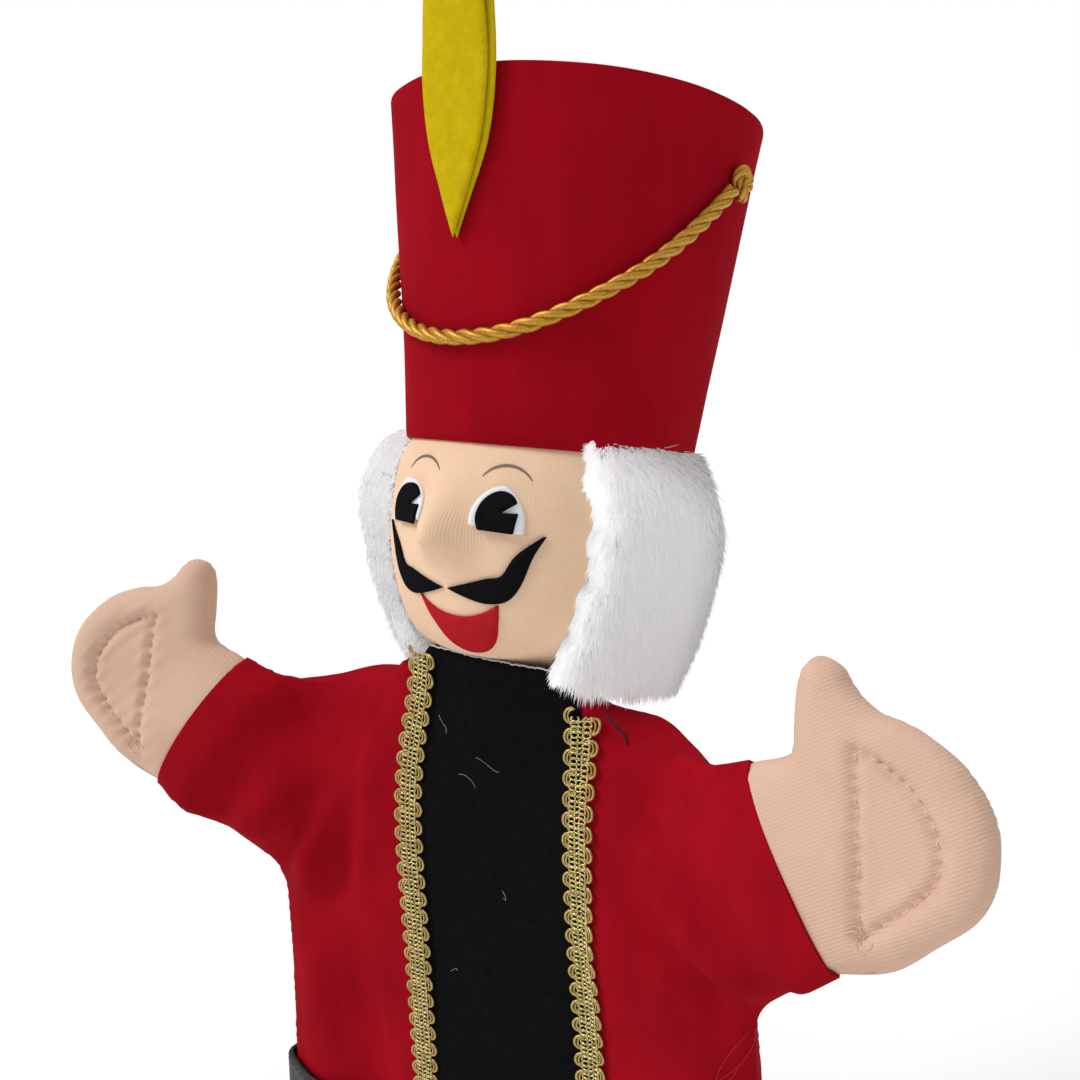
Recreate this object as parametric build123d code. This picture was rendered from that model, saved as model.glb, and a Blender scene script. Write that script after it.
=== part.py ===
from build123d import *
import os
from math import cos, hypot, radians, sin, tan

# A glove puppet: a red-coated soldier with a tall flared hat, a white wig and
# mitten hands.  Millimetres.  +Z is up, -Y is the puppet's front and +X is the
# puppet's own left.  The origin is the centre of the hand opening, at the hem.

# ---------------------------------------------------------------- dimensions
NECK_Z = 240.0            # height of the neck pivot above the hem

# Coat, worn over the puppeteer's hand
COAT_WALL = 1.8
SEAM_Y = -14.0            # side seams lie forward of the hand's middle
# sections: height, half width, depth of the front and of the back
COAT = [
    (0, 87, 9, 34), (40, 87, 8, 35), (82, 86, 8, 36), (120, 84, 8, 37), (140, 78, 8, 37),
    (152, 66, 8, 37), (160, 54, 8, 37), (205, 52, 8, 36), (222, 48, 8, 35), (231, 38, 9, 35),
    (238, 27, 10, 35),
]
BELT_TOP, BELT_HEIGHT = 91.0, 18.0
PANEL_HALF = 26.0         # black felt front panel
FRONT_TOP, BACK_TOP = 236.0, 228.0   # the neckline dips behind the head
TRIM_MIDDLE, TRIM_WIDTH, TRIM_THICK = 28.2, 10.5, 1.4
HEM_FACING = 22.0
ARMHOLE = (22.0, 34.0)    # half depth and half height of the opening
ARM_Z = 196.0             # height of both shoulder pivots
ARM_Y = -3.5

# Head, in its own frame: origin at the neck pivot, z along the head's height
HEAD_TURN, HEAD_BACK, HEAD_LEAN = 5.0, 10.0, 1.25
HEAD_PROFILE = [
    (13.5, -2.0), (21.0, 0.0), (28.5, 3.5), (34.5, 8.0), (39.0, 14.5), (42.0, 22.0),
    (44.2, 31.0), (45.2, 41.0), (45.0, 51.0), (44.0, 59.0), (41.5, 64.8), (39.0, 69.0),
    (36.5, 77.0), (30.0, 87.0), (18.0, 94.0), (0.0, 96.5),
]
SKIN = 1.0                # stockinette cover
FELT = 1.1                # cut felt shapes on the face
NOSE_RADIUS, NOSE_AT = 7.2, (-0.4, -46.2, 39.0)
# felt shapes and brows, as x and height on the head's front; the eyes are drawn for a half
# width of one, and each is laid at its own middle and half width
EYE = [(1.0, 41.2), (0.93, 47.5), (0.2, 54.0), (-0.62, 51.5), (-1.0, 42.6)]
# a domed pupil with a wedge cut out towards the puppet's left
PUPIL = [
    (-1.0, 41.6), (-0.82, 50.0), (0.04, 52.5), (0.74, 51.4), (1.0, 49.4), (0.18, 46.7),
    (1.12, 46.8), (0.92, 41.2),
]
EYES = {"left": (15.7, 6.6), "right": (-15.9, 9.0)}
PUPILS = {"left": (16.3, 4.5), "right": (-15.4, 6.1)}
MOUSTACHE = [
    (0.8, 24.6), (8.0, 26.8), (13.4, 28.6), (17.4, 29.8), (21.0, 35.5), (27.4, 41.4),
    (24.6, 35.6), (22.2, 28.8), (19.6, 24.4), (16.6, 22.2), (12.0, 21.6), (6.0, 22.9),
]
LEFT_BROW = [(10.0, 55.6), (16.4, 59.0), (22.8, 55.4)]
RIGHT_BROW = [(-4.4, 56.4), (-11.0, 59.9), (-18.2, 56.4)]
BROW_STROKE = 0.9
MOUTH = [(-10.4, 22.0), (5.0, 17.2), (15.7, 21.6), (14.0, 13.6), (6.4, 6.9), (-4.6, 12.2)]
# card tube for the index finger, and what ties the head to it
TUBE_BORE, TUBE_WALL, TUBE_LENGTH, TUBE_BOTTOM = 10.0, 1.2, 58.0, 232.0
NECK_BINDING = (13.1, 15.6, 227.0, 232.5)    # inner and outer radius, foot and top
NECK_SLEEVE = (12.0, 13.0, 221.0, 233.5)

# Wig of fur fabric
WIG_PROFILE = [(44.0, 2.0), (47.0, 9.0), (52.0, 26.0), (55.5, 44.0), (52.5, 58.0), (45.0, 66.6)]
WIG_FRONT_ANGLE = 48.0    # degrees round from the middle of the face
WIG_BOTTOM = 241.0

# Hat, in the head's frame
HAT_BOTTOM, HAT_HEIGHT = 67.3, 95.4
HAT_R_BOTTOM, HAT_R_TOP = 43.0, 54.9
HAT_CLOTH, HAT_BOARD = 0.7, 1.2
HAT_HEM = 14.0
PLUME_FELT, PLUME_GAP = 1.2, 0.3
# plume outline: distance up the hat's front, half width
PLUME = [(64.0, 4.6), (77.0, 8.8), (91.0, 10.8), (103.0, 10.8), (119.0, 9.2), (136.0, 6.2), (150.0, 2.8)]
PLUME_TIP, PLUME_END = 52.0, 157.0

# Cord across the front of the hat: angle round the hat and height on it
CORD_DIAMETER = 4.3
CORD_GAP = 0.45
CORD_ROUTE = [
    (-89.0, 139.0), (-80.5, 130.6), (-70.0, 121.4), (-58.5, 112.8), (-45.5, 105.0), (-31.5, 98.7),
    (-18.0, 94.4), (-4.0, 92.4), (10.0, 92.8), (23.5, 95.6), (37.0, 100.8), (49.5, 107.4),
    (61.5, 114.8), (72.0, 123.2), (81.0, 131.4), (89.5, 139.4),
]
KNOT_ANGLE, KNOT_HEIGHT, KNOT_RADIUS = 93.5, 143.0, 5.0

# Left arm, mirrored for the right one
CUFF = (99.0, -39.1, 215.7)                 # middle of the cuff
HAND_X = Vector(0.818, -0.116, 0.563)       # from the cuff to the finger tips
HAND_Y = Vector(-0.533, 0.2125, 0.819)      # from the little finger to the thumb
HAND_GAP, JERSEY = 8.4, 1.2
SLEEVE_WALL = 1.4
# sections of the sleeve: centre, half depth, half height
UPPER_SLEEVE = [
    ((46.0, -3.5, 196.0), 10.5, 22.5), ((55.0, -6.0, 197.0), 10.5, 23.5),
    ((66.0, -12.0, 200.0), 14.0, 30.0), ((76.0, -19.5, 203.5), 15.5, 30.5),
]
LOWER_SLEEVE = [
    ((70.0, -15.0, 201.5), 5.8, 23.0), ((80.0, -23.0, 205.5), 6.4, 24.5),
    ((90.0, -31.5, 210.5), 8.4, 26.0), (CUFF, 9.0, 26.7),
]
# mitten outline from the top of the cuff round the thumb to its foot
MITTEN = [
    (1.5, 26.5), (13.4, 24.8), (17.5, 31.5), (21.6, 36.5), (26.0, 42.0), (31.0, 42.3),
    (34.8, 37.6), (35.2, 31.0), (38.0, 25.4), (44.5, 19.9), (51.0, 10.5), (54.0, -1.0),
    (52.3, -10.5), (47.3, -19.2), (40.0, -24.4), (28.0, -26.8), (14.5, -30.0), (1.5, -27.0),
]
# quilted D: its straight side, then the curve back
STITCH_LINE = [(31.8, 19.1), (12.7, -20.2)]
STITCH_CURVE = [(22.0, -18.6), (31.0, -16.4), (38.6, -12.4), (41.8, -3.0), (40.6, 6.6), (36.6, 13.6)]
STITCH = 0.8
FINGER_POCKET = [(-10, -40), (9.0, -40), (15.5, -18.0), (32.5, 17.0), (20.0, 22.5), (-10, 22.5)]

os.makedirs("parts", exist_ok=True)


# ------------------------------------------------------------------- helpers
def save(name, shape):
    """Writes one sub-part."""
    solids = [s for s in shape.solids() if s.volume > 0.5]
    part = solids[0] if len(solids) == 1 else Compound(solids)
    part.label = name
    export_step(part, f"parts/{name}.step")


def save_pair(name, shape):
    """Writes the puppet's left piece and its mirror image."""
    save(f"left_{name}", shape)
    save(f"right_{name}", shape.mirror(Plane.YZ))


def grown(profile, distance):
    """A lathe profile moved out along its own normals."""
    last = len(profile) - 1
    moved = []
    for i, (r, z) in enumerate(profile):
        before, after = profile[max(i - 1, 0)], profile[min(i + 1, last)]
        dr, dz = after[0] - before[0], after[1] - before[1]
        size = hypot(dr, dz)
        moved.append((max(r + distance * dz / size, 0.0), z - distance * dr / size))
    return moved


def lathe(profile):
    """The solid of revolution under a smooth profile, about Z."""
    points = [(r, 0, z) for r, z in profile]
    curve = Spline(*points)
    foot, top = (0, 0, points[0][2]), (0, 0, points[-1][2])
    edges = [curve, Line(foot, points[0])]
    if points[-1][0] > 0.01:
        edges.append(Line(points[-1], top))
    edges.append(Line(top, foot))
    return revolve(make_face(edges), Axis.Z)


def head_solid(distance=0.0):
    """The head's outer shape, grown by a distance."""
    profile = grown(HEAD_PROFILE, distance)
    return lathe(profile[:-1] + [(0.0, HEAD_PROFILE[-1][1] + distance)])


def ball(radius, at):
    return Pos(*at) * Sphere(radius)


def ring(inner, outer, low, high):
    """A plain tube standing between two heights."""
    height = high - low
    return Pos(0, 0, low) * (extrude(Circle(outer), height) - extrude(Circle(inner), height))


def front_prism(outline, low=-75, high=-8):
    """A closed outline in the face's x, z, pushed through from the front."""
    face = make_face(outline)
    return Pos(0, low, 0) * extrude(face, high - low, dir=(0, 1, 0))


def flat(points):
    return [(x, 0, z) for x, z in points]


def coat_section(z, half, front, back, grow):
    """One D-shaped section of the coat: a shallow front and a deep back."""
    plane = Plane((0, SEAM_Y, z))
    face_front = EllipticalCenterArc((0, 0), half + grow, front + grow, start_angle=180, arc_size=180)
    face_back = EllipticalCenterArc((0, 0), half + grow, back + grow, start_angle=0, arc_size=180)
    return plane * make_face([face_front, face_back])


def coat_solid(grow):
    """The coat's outer shape, grown by a distance."""
    sections = [coat_section(*row, grow) for row in COAT]
    return loft(sections, ruled=True)


def resized(face, factor):
    """A flat face, scaled about its own middle."""
    middle = face.center()
    return Pos(*middle) * scale(Pos(*(middle * -1)) * face, by=factor)


def slab(low, high):
    """An upright block between two corners."""
    size = [b - a for a, b in zip(low, high)]
    return Pos(*low) * Box(*size, align=(Align.MIN, Align.MIN, Align.MIN))


def around(angle, height, gap):
    """A point outside the hat: angle from its front, height, distance from its cloth."""
    slope = (HAT_R_TOP - HAT_R_BOTTOM) / HAT_HEIGHT
    radius = HAT_R_BOTTOM + slope * (height - HAT_BOTTOM) + gap
    return Vector(radius * sin(radians(angle)), -radius * cos(radians(angle)), height)


def sleeve_plane(centre):
    """The plane of a sleeve's section, turning from the shoulder to the cuff."""
    first, last = Vector(UPPER_SLEEVE[0][0]), Vector(CUFF)
    share = (centre[0] - first.X) / (last.X - first.X)
    along = Vector(1, 0, 0) * (1 - share) + HAND_X * share
    upward = Vector(0, 0, 1) * (1 - share) + HAND_Y * share
    across = upward.cross(along).normalized()
    return Plane(origin=centre, x_dir=across, z_dir=along.normalized())


def sleeve_pair(sections):
    """A hollow sleeve's front and back halves, parted along its two seams."""
    planes = [sleeve_plane(centre) for centre, _, _ in sections]

    def tube(inset):
        ovals = [p * Ellipse(d - inset, h - inset) for p, (_, d, h) in zip(planes, sections)]
        return loft(ovals)

    shell = tube(0) - tube(SLEEVE_WALL)
    start, end = Vector(sections[0][0]), Vector(sections[-1][0])
    upward = planes[0].y_dir + planes[-1].y_dir
    seam = Plane(origin=(start + end) / 2, x_dir=end - start, z_dir=upward.cross(end - start))
    back = extrude(seam * Rectangle(200, 200), 60, dir=seam.z_dir)
    return shell - back, shell & back


HEAD = Pos(0, 0, NECK_Z) * Rot(0, 0, -HEAD_TURN) * Rot(-HEAD_BACK, 0, 0) * Rot(0, -HEAD_LEAN, 0)


# ------------------------------------------------------------------ the coat
def make_coat():
    outer = coat_solid(0)
    shell = outer - coat_solid(-COAT_WALL)
    hole = Pos(42, ARM_Y, ARM_Z) * Rot(0, 90, 0) * extrude(Ellipse(ARMHOLE[1], ARMHOLE[0]), 40)
    shell = shell - hole - hole.mirror(Plane.YZ)
    save("front_panel", shell & slab((-PANEL_HALF, -60, -1), (PANEL_HALF, SEAM_Y, FRONT_TOP)))
    save_pair("coat_front", shell & slab((PANEL_HALF, -60, -1), (120, SEAM_Y, FRONT_TOP)))
    save_pair("coat_back", shell & slab((0, SEAM_Y, -1), (120, 60, BACK_TOP)))

    over_trim = coat_solid(TRIM_THICK)
    trim = (over_trim - outer) & slab(
        (TRIM_MIDDLE - TRIM_WIDTH / 2, -60, 0.5), (TRIM_MIDDLE + TRIM_WIDTH / 2, SEAM_Y - 2, 232)
    )
    save_pair("trim", trim)
    belt = coat_solid(TRIM_THICK + 1.65) - coat_solid(TRIM_THICK + 0.05)
    save("belt", belt & slab((-120, -60, BELT_TOP - BELT_HEIGHT), (120, 60, BELT_TOP)))
    facing = coat_solid(-COAT_WALL) - coat_solid(-COAT_WALL - 0.8)
    save("hem_facing", facing & slab((-120, -60, 0.5), (120, 60, HEM_FACING)))


# ------------------------------------------------------------------ the neck
def make_neck():
    save("neck_binding", ring(*NECK_BINDING))
    save("neck_sleeve", ring(*NECK_SLEEVE))


# ------------------------------------------------------------------ the head
def make_head():
    outer_tube = TUBE_BORE + TUBE_WALL
    tube_room = Pos(0, 0, TUBE_BOTTOM) * extrude(Circle(outer_tube), TUBE_LENGTH)
    save("finger_tube", ring(TUBE_BORE, outer_tube, TUBE_BOTTOM, TUBE_BOTTOM + TUBE_LENGTH))

    nose_core = ball(NOSE_RADIUS - SKIN, NOSE_AT)
    surface = head_solid()
    skin_outer = surface + ball(NOSE_RADIUS, NOSE_AT)
    stuffing = head_solid(-SKIN)
    save("face_cover", HEAD * (skin_outer - stuffing - nose_core) - tube_room)
    save("head_stuffing", HEAD * (stuffing - nose_core) - tube_room)
    save("nose", HEAD * nose_core)

    clear_nose = ball(NOSE_RADIUS + 0.3, NOSE_AT)
    layers = [head_solid(0.05), head_solid(FELT), head_solid(2 * FELT)]

    def felt(outline, level=1):
        cut = (layers[level] - layers[level - 1]) & front_prism(outline)
        return HEAD * (cut - clear_nose)

    for side, sign in (("left", 1), ("right", -1)):
        middle, half = EYES[side]
        a, b, c, d, e = flat([(middle + sign * half * x, z) for x, z in EYE])
        save(f"{side}_eye_white", felt([ThreePointArc(a, b, c), ThreePointArc(c, d, e), Line(e, a)]))
        middle, half = PUPILS[side]
        a, b, c, d, e, *wedge = flat([(middle + half * x, z) for x, z in PUPIL])
        dome = [ThreePointArc(a, b, c), ThreePointArc(c, d, e)]
        save(f"{side}_pupil", felt([*dome, Polyline(e, *wedge, a)], 2))
        line = Polyline(*flat([(sign * x, z) for x, z in MOUSTACHE]), close=True)
        save(f"{side}_moustache", felt([line]))

    for side, brow in (("left", LEFT_BROW), ("right", RIGHT_BROW)):
        lower = ThreePointArc(*flat(brow))
        upper = ThreePointArc(*flat([(x, z + BROW_STROKE) for x, z in brow]))
        ends = [Line(lower @ 0, upper @ 0), Line(lower @ 1, upper @ 1)]
        save(f"{side}_eyebrow", felt([lower, upper, *ends]))

    a, b, c, d, e, f = flat(MOUTH)
    save("mouth", felt([ThreePointArc(a, b, c), Line(c, d), ThreePointArc(d, e, f), Line(f, a)]))

    wig = lathe(WIG_PROFILE) - head_solid(0.3)
    sector = 180 - WIG_FRONT_ANGLE
    # the left half runs from the face's edge round to the seam at the back
    section = make_face(Polyline((0, 0, -20), (90, 0, -20), (90, 0, 80), (0, 0, 80), close=True))
    wedge = Rot(0, 0, -90 + WIG_FRONT_ANGLE) * revolve(section, Axis.Z, sector)
    floor = slab((-90, -90, WIG_BOTTOM), (90, 90, 400))
    save("left_wig", (HEAD * (wig & wedge)) & floor)
    save("right_wig", (HEAD * (wig & wedge.mirror(Plane.YZ))) & floor)


# ------------------------------------------------------------------- the hat
def hat_cone(inset, low=0.0, high=HAT_HEIGHT):
    """The hat's cone, between two heights above its rim."""
    slope = (HAT_R_TOP - HAT_R_BOTTOM) / HAT_HEIGHT
    middle = (low + high) / 2
    return Pos(0, 0, HAT_BOTTOM + middle) * Cone(
        HAT_R_BOTTOM + slope * low - inset, HAT_R_BOTTOM + slope * high - inset, high - low
    )


def make_hat():
    cloth, board = HAT_CLOTH, HAT_CLOTH + HAT_BOARD
    save("hat_cover", HEAD * (hat_cone(0) - hat_cone(cloth)))
    save("hat_board", HEAD * (hat_cone(cloth) - hat_cone(board)))
    save("hat_hem", HEAD * (hat_cone(board, 0, HAT_HEM) - hat_cone(board + 0.7, 0, HAT_HEM)))
    top = HAT_HEIGHT - cloth
    save("hat_top_cover", HEAD * hat_cone(board + 0.05, top, HAT_HEIGHT))
    save("hat_top_board", HEAD * hat_cone(board + 0.05, top - HAT_BOARD, top))

    up_the_hat = Vector(0, HAT_R_BOTTOM - HAT_R_TOP, HAT_HEIGHT).normalized()
    out = Vector(1, 0, 0).cross(up_the_hat)
    rim = Vector(0, -HAT_R_BOTTOM, HAT_BOTTOM)

    def leaf(level, shift):
        plane = Plane(origin=rim + out * level, x_dir=(1, 0, 0), z_dir=out)
        tip, end = (shift, PLUME_TIP), (shift, PLUME_END)
        right = Spline(tip, *[(shift + w, s) for s, w in PLUME], end)
        left = Spline(tip, *[(shift - w, s) for s, w in PLUME], end)
        return extrude(plane * make_face([right, left]), PLUME_FELT, dir=out)

    save("plume_back", HEAD * leaf(PLUME_GAP, 1.6))
    save("plume_front", HEAD * leaf(PLUME_GAP + PLUME_FELT + 0.05, 0.0))


def make_cord():
    gap = CORD_DIAMETER / 2 + CORD_GAP
    points = [around(angle, height, gap) for angle, height in CORD_ROUTE]
    radii = []
    for a, b, c in zip(points, points[1:], points[2:]):
        half_turn = radians((b - a).get_angle(c - b)) / 2
        radii.append(0.45 * min((b - a).length, (c - b).length) / tan(half_turn))
    path = FilletPolyline(*points, radius=radii)
    start = Plane(origin=path @ 0, z_dir=path % 0)
    tube = sweep(start * Circle(CORD_DIAMETER / 2), path)
    print("cord length", round(path.length, 1), "volume", round(tube.volume))
    save("hat_cord", HEAD * tube)
    for side, sign in (("left", 1), ("right", -1)):
        at = around(sign * KNOT_ANGLE, KNOT_HEIGHT, KNOT_RADIUS + 0.3)
        save(f"{side}_cord_knot", HEAD * (Pos(at) * Sphere(KNOT_RADIUS)))


# ------------------------------------------------------------------ the arms
def make_arms():
    for name, sections in (("upper_sleeve", UPPER_SLEEVE), ("lower_sleeve", LOWER_SLEEVE)):
        front, back = sleeve_pair(sections)
        save_pair(f"{name}_front", front)
        save_pair(f"{name}_back", back)

    palm = Plane(origin=CUFF, x_dir=HAND_X, z_dir=HAND_X.cross(HAND_Y))
    curve = Spline(*MITTEN)
    outline = make_face([curve, Line(curve @ 1, curve @ 0)])
    ends = Spline(STITCH_LINE[1], *STITCH_CURVE, STITCH_LINE[0])
    quilted = make_face([Line(*STITCH_LINE), ends])
    half = HAND_GAP / 2

    def layer(face, low, high):
        return extrude(palm.offset(low) * face, high - low, dir=palm.z_dir)

    save_pair("hand_front", layer(outline, half, half + JERSEY))
    save_pair("hand_back", layer(outline, -half - JERSEY, -half))

    # wadding fills the rim and the thumb, outside the quilting and the finger pocket
    pocket = make_face(Polyline(*FINGER_POCKET, close=True))
    wadding = layer(resized(outline, 0.95), 0.1 - half, half - 0.1)
    for gap in (pocket, resized(quilted, 1.08)):
        wadding = wadding - layer(gap, -half, half)
    save_pair("hand_wadding", wadding)

    top = half + JERSEY
    faces = []
    for low in (top, -top - STITCH / 2):
        inside = layer(resized(quilted, 0.94), low - 1, low + 1 + STITCH / 2)
        faces.append(layer(quilted, low, low + STITCH / 2) - inside)
    save_pair("hand_stitching", faces[0] + faces[1])


make_coat()
make_neck()
make_head()
make_hat()
make_cord()
make_arms()
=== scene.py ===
import math
import bpy
import numpy as np
from mathutils import Matrix, Vector
from mathutils.geometry import delaunay_2d_cdt


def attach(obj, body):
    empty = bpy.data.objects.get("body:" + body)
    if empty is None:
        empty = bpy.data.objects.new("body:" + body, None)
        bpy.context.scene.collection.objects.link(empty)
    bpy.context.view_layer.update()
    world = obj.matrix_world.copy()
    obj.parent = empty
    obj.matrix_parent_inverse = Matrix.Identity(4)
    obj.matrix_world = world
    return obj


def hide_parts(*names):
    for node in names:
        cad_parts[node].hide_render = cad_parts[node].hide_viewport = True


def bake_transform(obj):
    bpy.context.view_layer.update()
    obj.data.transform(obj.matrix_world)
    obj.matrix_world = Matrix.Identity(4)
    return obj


# A glove puppet: a red-coated soldier with a tall hat, a white fur wig and
# mitten hands.  Shapes are worked out in millimetres and made in metres.
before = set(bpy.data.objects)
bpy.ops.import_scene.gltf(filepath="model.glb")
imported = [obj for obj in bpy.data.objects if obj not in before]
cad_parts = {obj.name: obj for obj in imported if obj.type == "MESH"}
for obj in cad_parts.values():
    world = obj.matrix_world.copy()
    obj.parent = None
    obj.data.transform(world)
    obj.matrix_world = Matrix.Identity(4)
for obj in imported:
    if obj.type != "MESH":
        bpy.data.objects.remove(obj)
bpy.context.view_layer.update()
MM = 0.001

# ------------------------------------------------------------------ camera
camera = bpy.data.objects.new("camera", bpy.data.cameras.new("camera"))
camera.location = (0.1963, -0.3166, 0.3548)
camera.rotation_euler = (math.radians(90 - 11.52), 0, math.radians(31.36))
camera.data.lens, camera.data.sensor_width = 42.65, 36
camera.data.clip_start, camera.data.clip_end = 0.01, 50
bpy.context.scene.collection.objects.link(camera)
bpy.context.scene.camera = camera

# ----------------------------------------------------------- dimensions, mm
NECK_Z = 240.0
HEAD_TURN, HEAD_BACK, HEAD_LEAN = 5.0, 10.0, 1.25      # degrees
HEAD_PROFILE = [                                        # radius, height
    (13.5, -2.0), (21.0, 0.0), (28.5, 3.5), (34.5, 8.0), (39.0, 14.5), (42.0, 22.0),
    (44.2, 31.0), (45.2, 41.0), (45.0, 51.0), (44.0, 59.0), (41.5, 64.8), (39.0, 69.0),
    (36.5, 77.0), (30.0, 87.0), (18.0, 94.0), (0.3, 96.5),
]
NOSE_X, NOSE_Z, NOSE_OUT, NOSE_SPREAD = -0.4, 38.6, 9.6, 5.2
FELT = 1.1
HAT_BOTTOM, HAT_HEIGHT, HAT_R_BOTTOM, HAT_R_TOP = 67.3, 95.4, 43.0, 54.9
CORD_DIAMETER, CORD_GAP = 4.3, 0.15
CORD_ROUTE = [                                          # angle round the hat, height
    (-89.0, 139.0), (-80.5, 130.6), (-70.0, 121.4), (-58.5, 112.8), (-45.5, 105.0), (-31.5, 98.7),
    (-18.0, 94.4), (-4.0, 92.4), (10.0, 92.8), (23.5, 95.6), (37.0, 100.8), (49.5, 107.4),
    (61.5, 114.8), (72.0, 123.2), (81.0, 131.4), (89.5, 139.4),
]
KNOT_ANGLE, KNOT_HEIGHT, KNOT_RADIUS = 93.5, 143.0, 5.0


# ----------------------------------------------------------------- vectors
def turned(angle, axis):
    return np.array(Matrix.Rotation(math.radians(angle), 3, axis))


HEAD_AXES = turned(-HEAD_TURN, "Z") @ turned(-HEAD_BACK, "X") @ turned(-HEAD_LEAN, "Y")


def on_head(points):
    """Points of the head's own frame, in the puppet's frame."""
    return np.asarray(points, float) @ HEAD_AXES.T + (0, 0, NECK_Z)


def unit(v):
    v = np.asarray(v, float)
    return v / np.maximum(np.linalg.norm(v, axis=-1, keepdims=True), 1e-12)


def smooth_step(low, high, x):
    t = np.clip((np.asarray(x, float) - low) / (high - low), 0, 1)
    return t * t * (3 - 2 * t)


def through(points, per=8, closed=False):
    """A smooth curve through points, per steps between two of them."""
    p = np.asarray(points, float)
    if closed:
        p = np.vstack([p[-1], p, p[:2]])
    else:
        p = np.vstack([2 * p[0] - p[1], p, 2 * p[-1] - p[-2]])
    out = []
    for a, b, c, d in zip(p, p[1:], p[2:], p[3:]):
        for t in np.arange(per) / per:
            out.append(0.5 * (2 * b + (c - a) * t + (2 * a - 5 * b + 4 * c - d) * t**2
                              + (3 * b - a - 3 * c + d) * t**3))
    if not closed:
        out.append(p[-2])
    return np.array(out)


def spaced(line, step, closed=False):
    """The same line with points about step apart."""
    p = np.asarray(line, float)
    if closed:
        p = np.vstack([p, p[:1]])
    along = np.concatenate([[0], np.cumsum(np.linalg.norm(np.diff(p, axis=0), axis=1))])
    count = max(2, int(round(along[-1] / step)) + 1)
    at = np.linspace(0, along[-1], count)
    out = np.stack([np.interp(at, along, p[:, k]) for k in range(p.shape[1])], 1)
    return out[:-1] if closed else out


def gap_to(points, line, closed=False):
    """Distance from each point to a line in the plane."""
    p = np.asarray(points, float)
    a = np.asarray(line, float)
    b = np.roll(a, -1, axis=0) if closed else a[1:]
    a = a if closed else a[:-1]
    best = np.full(len(p), 1e9)
    for s, e in zip(a, b):
        d = e - s
        t = np.clip(((p - s) @ d) / max(d @ d, 1e-12), 0, 1)
        best = np.minimum(best, np.linalg.norm(p - s - t[:, None] * d, axis=1))
    return best


def inside(points, loop):
    """Which points lie inside a closed outline."""
    p, hit = np.asarray(points, float), np.zeros(len(points), bool)
    for (x0, y0), (x1, y1) in zip(loop, np.roll(loop, -1, axis=0)):
        if y0 == y1:
            continue
        cross = (y0 > p[:, 1]) != (y1 > p[:, 1])
        hit ^= cross & (p[:, 0] < (x1 - x0) * (p[:, 1] - y0) / (y1 - y0) + x0)
    return hit


def patch(loop, step):
    """Points and triangles that fill a closed outline, on an even grid."""
    loop = np.asarray(loop, float)
    low, high = loop.min(0), loop.max(0)
    rows = np.arange(low[1], high[1], step * 0.866)
    grid = [(x + step / 2 * (j % 2), y) for j, y in enumerate(rows) for x in np.arange(low[0], high[0], step)]
    grid = np.array(grid)
    grid = grid[inside(grid, loop)]
    grid = grid[gap_to(grid, loop, True) > 0.55 * step]
    points = [Vector(p) for p in loop] + [Vector(p) for p in grid]
    edges = [(i, (i + 1) % len(loop)) for i in range(len(loop))]
    made, _, faces, *_ = delaunay_2d_cdt(points, edges, [], 1, 1e-7)
    made = np.array([tuple(v) for v in made])
    out = []
    for f in faces:
        a, b, c = (made[i] for i in f)
        turn = (b[0] - a[0]) * (c[1] - a[1]) - (b[1] - a[1]) * (c[0] - a[0])
        out.append(tuple(f) if turn > 0 else tuple(reversed(f)))
    return made, out


# ------------------------------------------------------------------- meshes
def piece(name, points, faces, material, body=None, stands_for=(), cloth=None, shade=None, crease=None):
    """A mesh piece from points in millimetres, with its cloth's own flat coordinates."""
    mesh = bpy.data.meshes.new(name)
    sizes = np.array([len(f) for f in faces])
    mesh.vertices.add(len(points))
    mesh.vertices.foreach_set("co", (np.asarray(points, float) * MM).ravel())
    mesh.loops.add(int(sizes.sum()))
    mesh.loops.foreach_set("vertex_index", np.concatenate(faces).astype(np.int32))
    mesh.polygons.add(len(sizes))
    mesh.polygons.foreach_set("loop_start", np.concatenate([[0], np.cumsum(sizes)[:-1]]).astype(np.int32))
    mesh.update(calc_edges=True)
    mesh.shade_smooth()
    if crease:
        mesh.set_sharp_from_angle(angle=math.radians(crease))
    if cloth is not None:
        layer = mesh.uv_layers.new(name="cloth")
        index = np.zeros(len(mesh.loops), np.int32)
        mesh.loops.foreach_get("vertex_index", index)
        layer.data.foreach_set("uv", np.asarray(cloth, np.float32)[index].ravel())
    if shade is not None:
        # painted shade of the fur pile, per point: low at the roots, high at the tips
        pile_shade = mesh.attributes.new("pile_shade", "FLOAT", "POINT")
        pile_shade.data.foreach_set("value", np.asarray(shade, np.float32))
    mesh.materials.append(material)
    obj = bpy.data.objects.new(name, mesh)
    bpy.context.scene.collection.objects.link(obj)
    if body:
        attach(obj, body)
    if stands_for:
        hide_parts(*stands_for)
    return obj


def grid_faces(rows, columns, around=False):
    """Quads over rows x columns of points; around joins the last column to the first."""
    faces = []
    for i in range(rows - 1):
        for j in range(columns if around else columns - 1):
            k = (j + 1) % columns
            faces.append((i * columns + j, i * columns + k, (i + 1) * columns + k, (i + 1) * columns + j))
    return faces


def frames_along(line):
    """Tangent, side and up at each point of a line, with no sudden turn."""
    p = np.asarray(line, float)
    tangent = unit(np.gradient(p, axis=0))
    side = np.cross(tangent[0], (0.3, 0.2, 1.0))
    sides = []
    for t in tangent:
        side = side - t * (side @ t)
        side = side / np.linalg.norm(side)
        sides.append(side)
    sides = np.array(sides)
    return tangent, sides, np.cross(tangent, sides)


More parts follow.
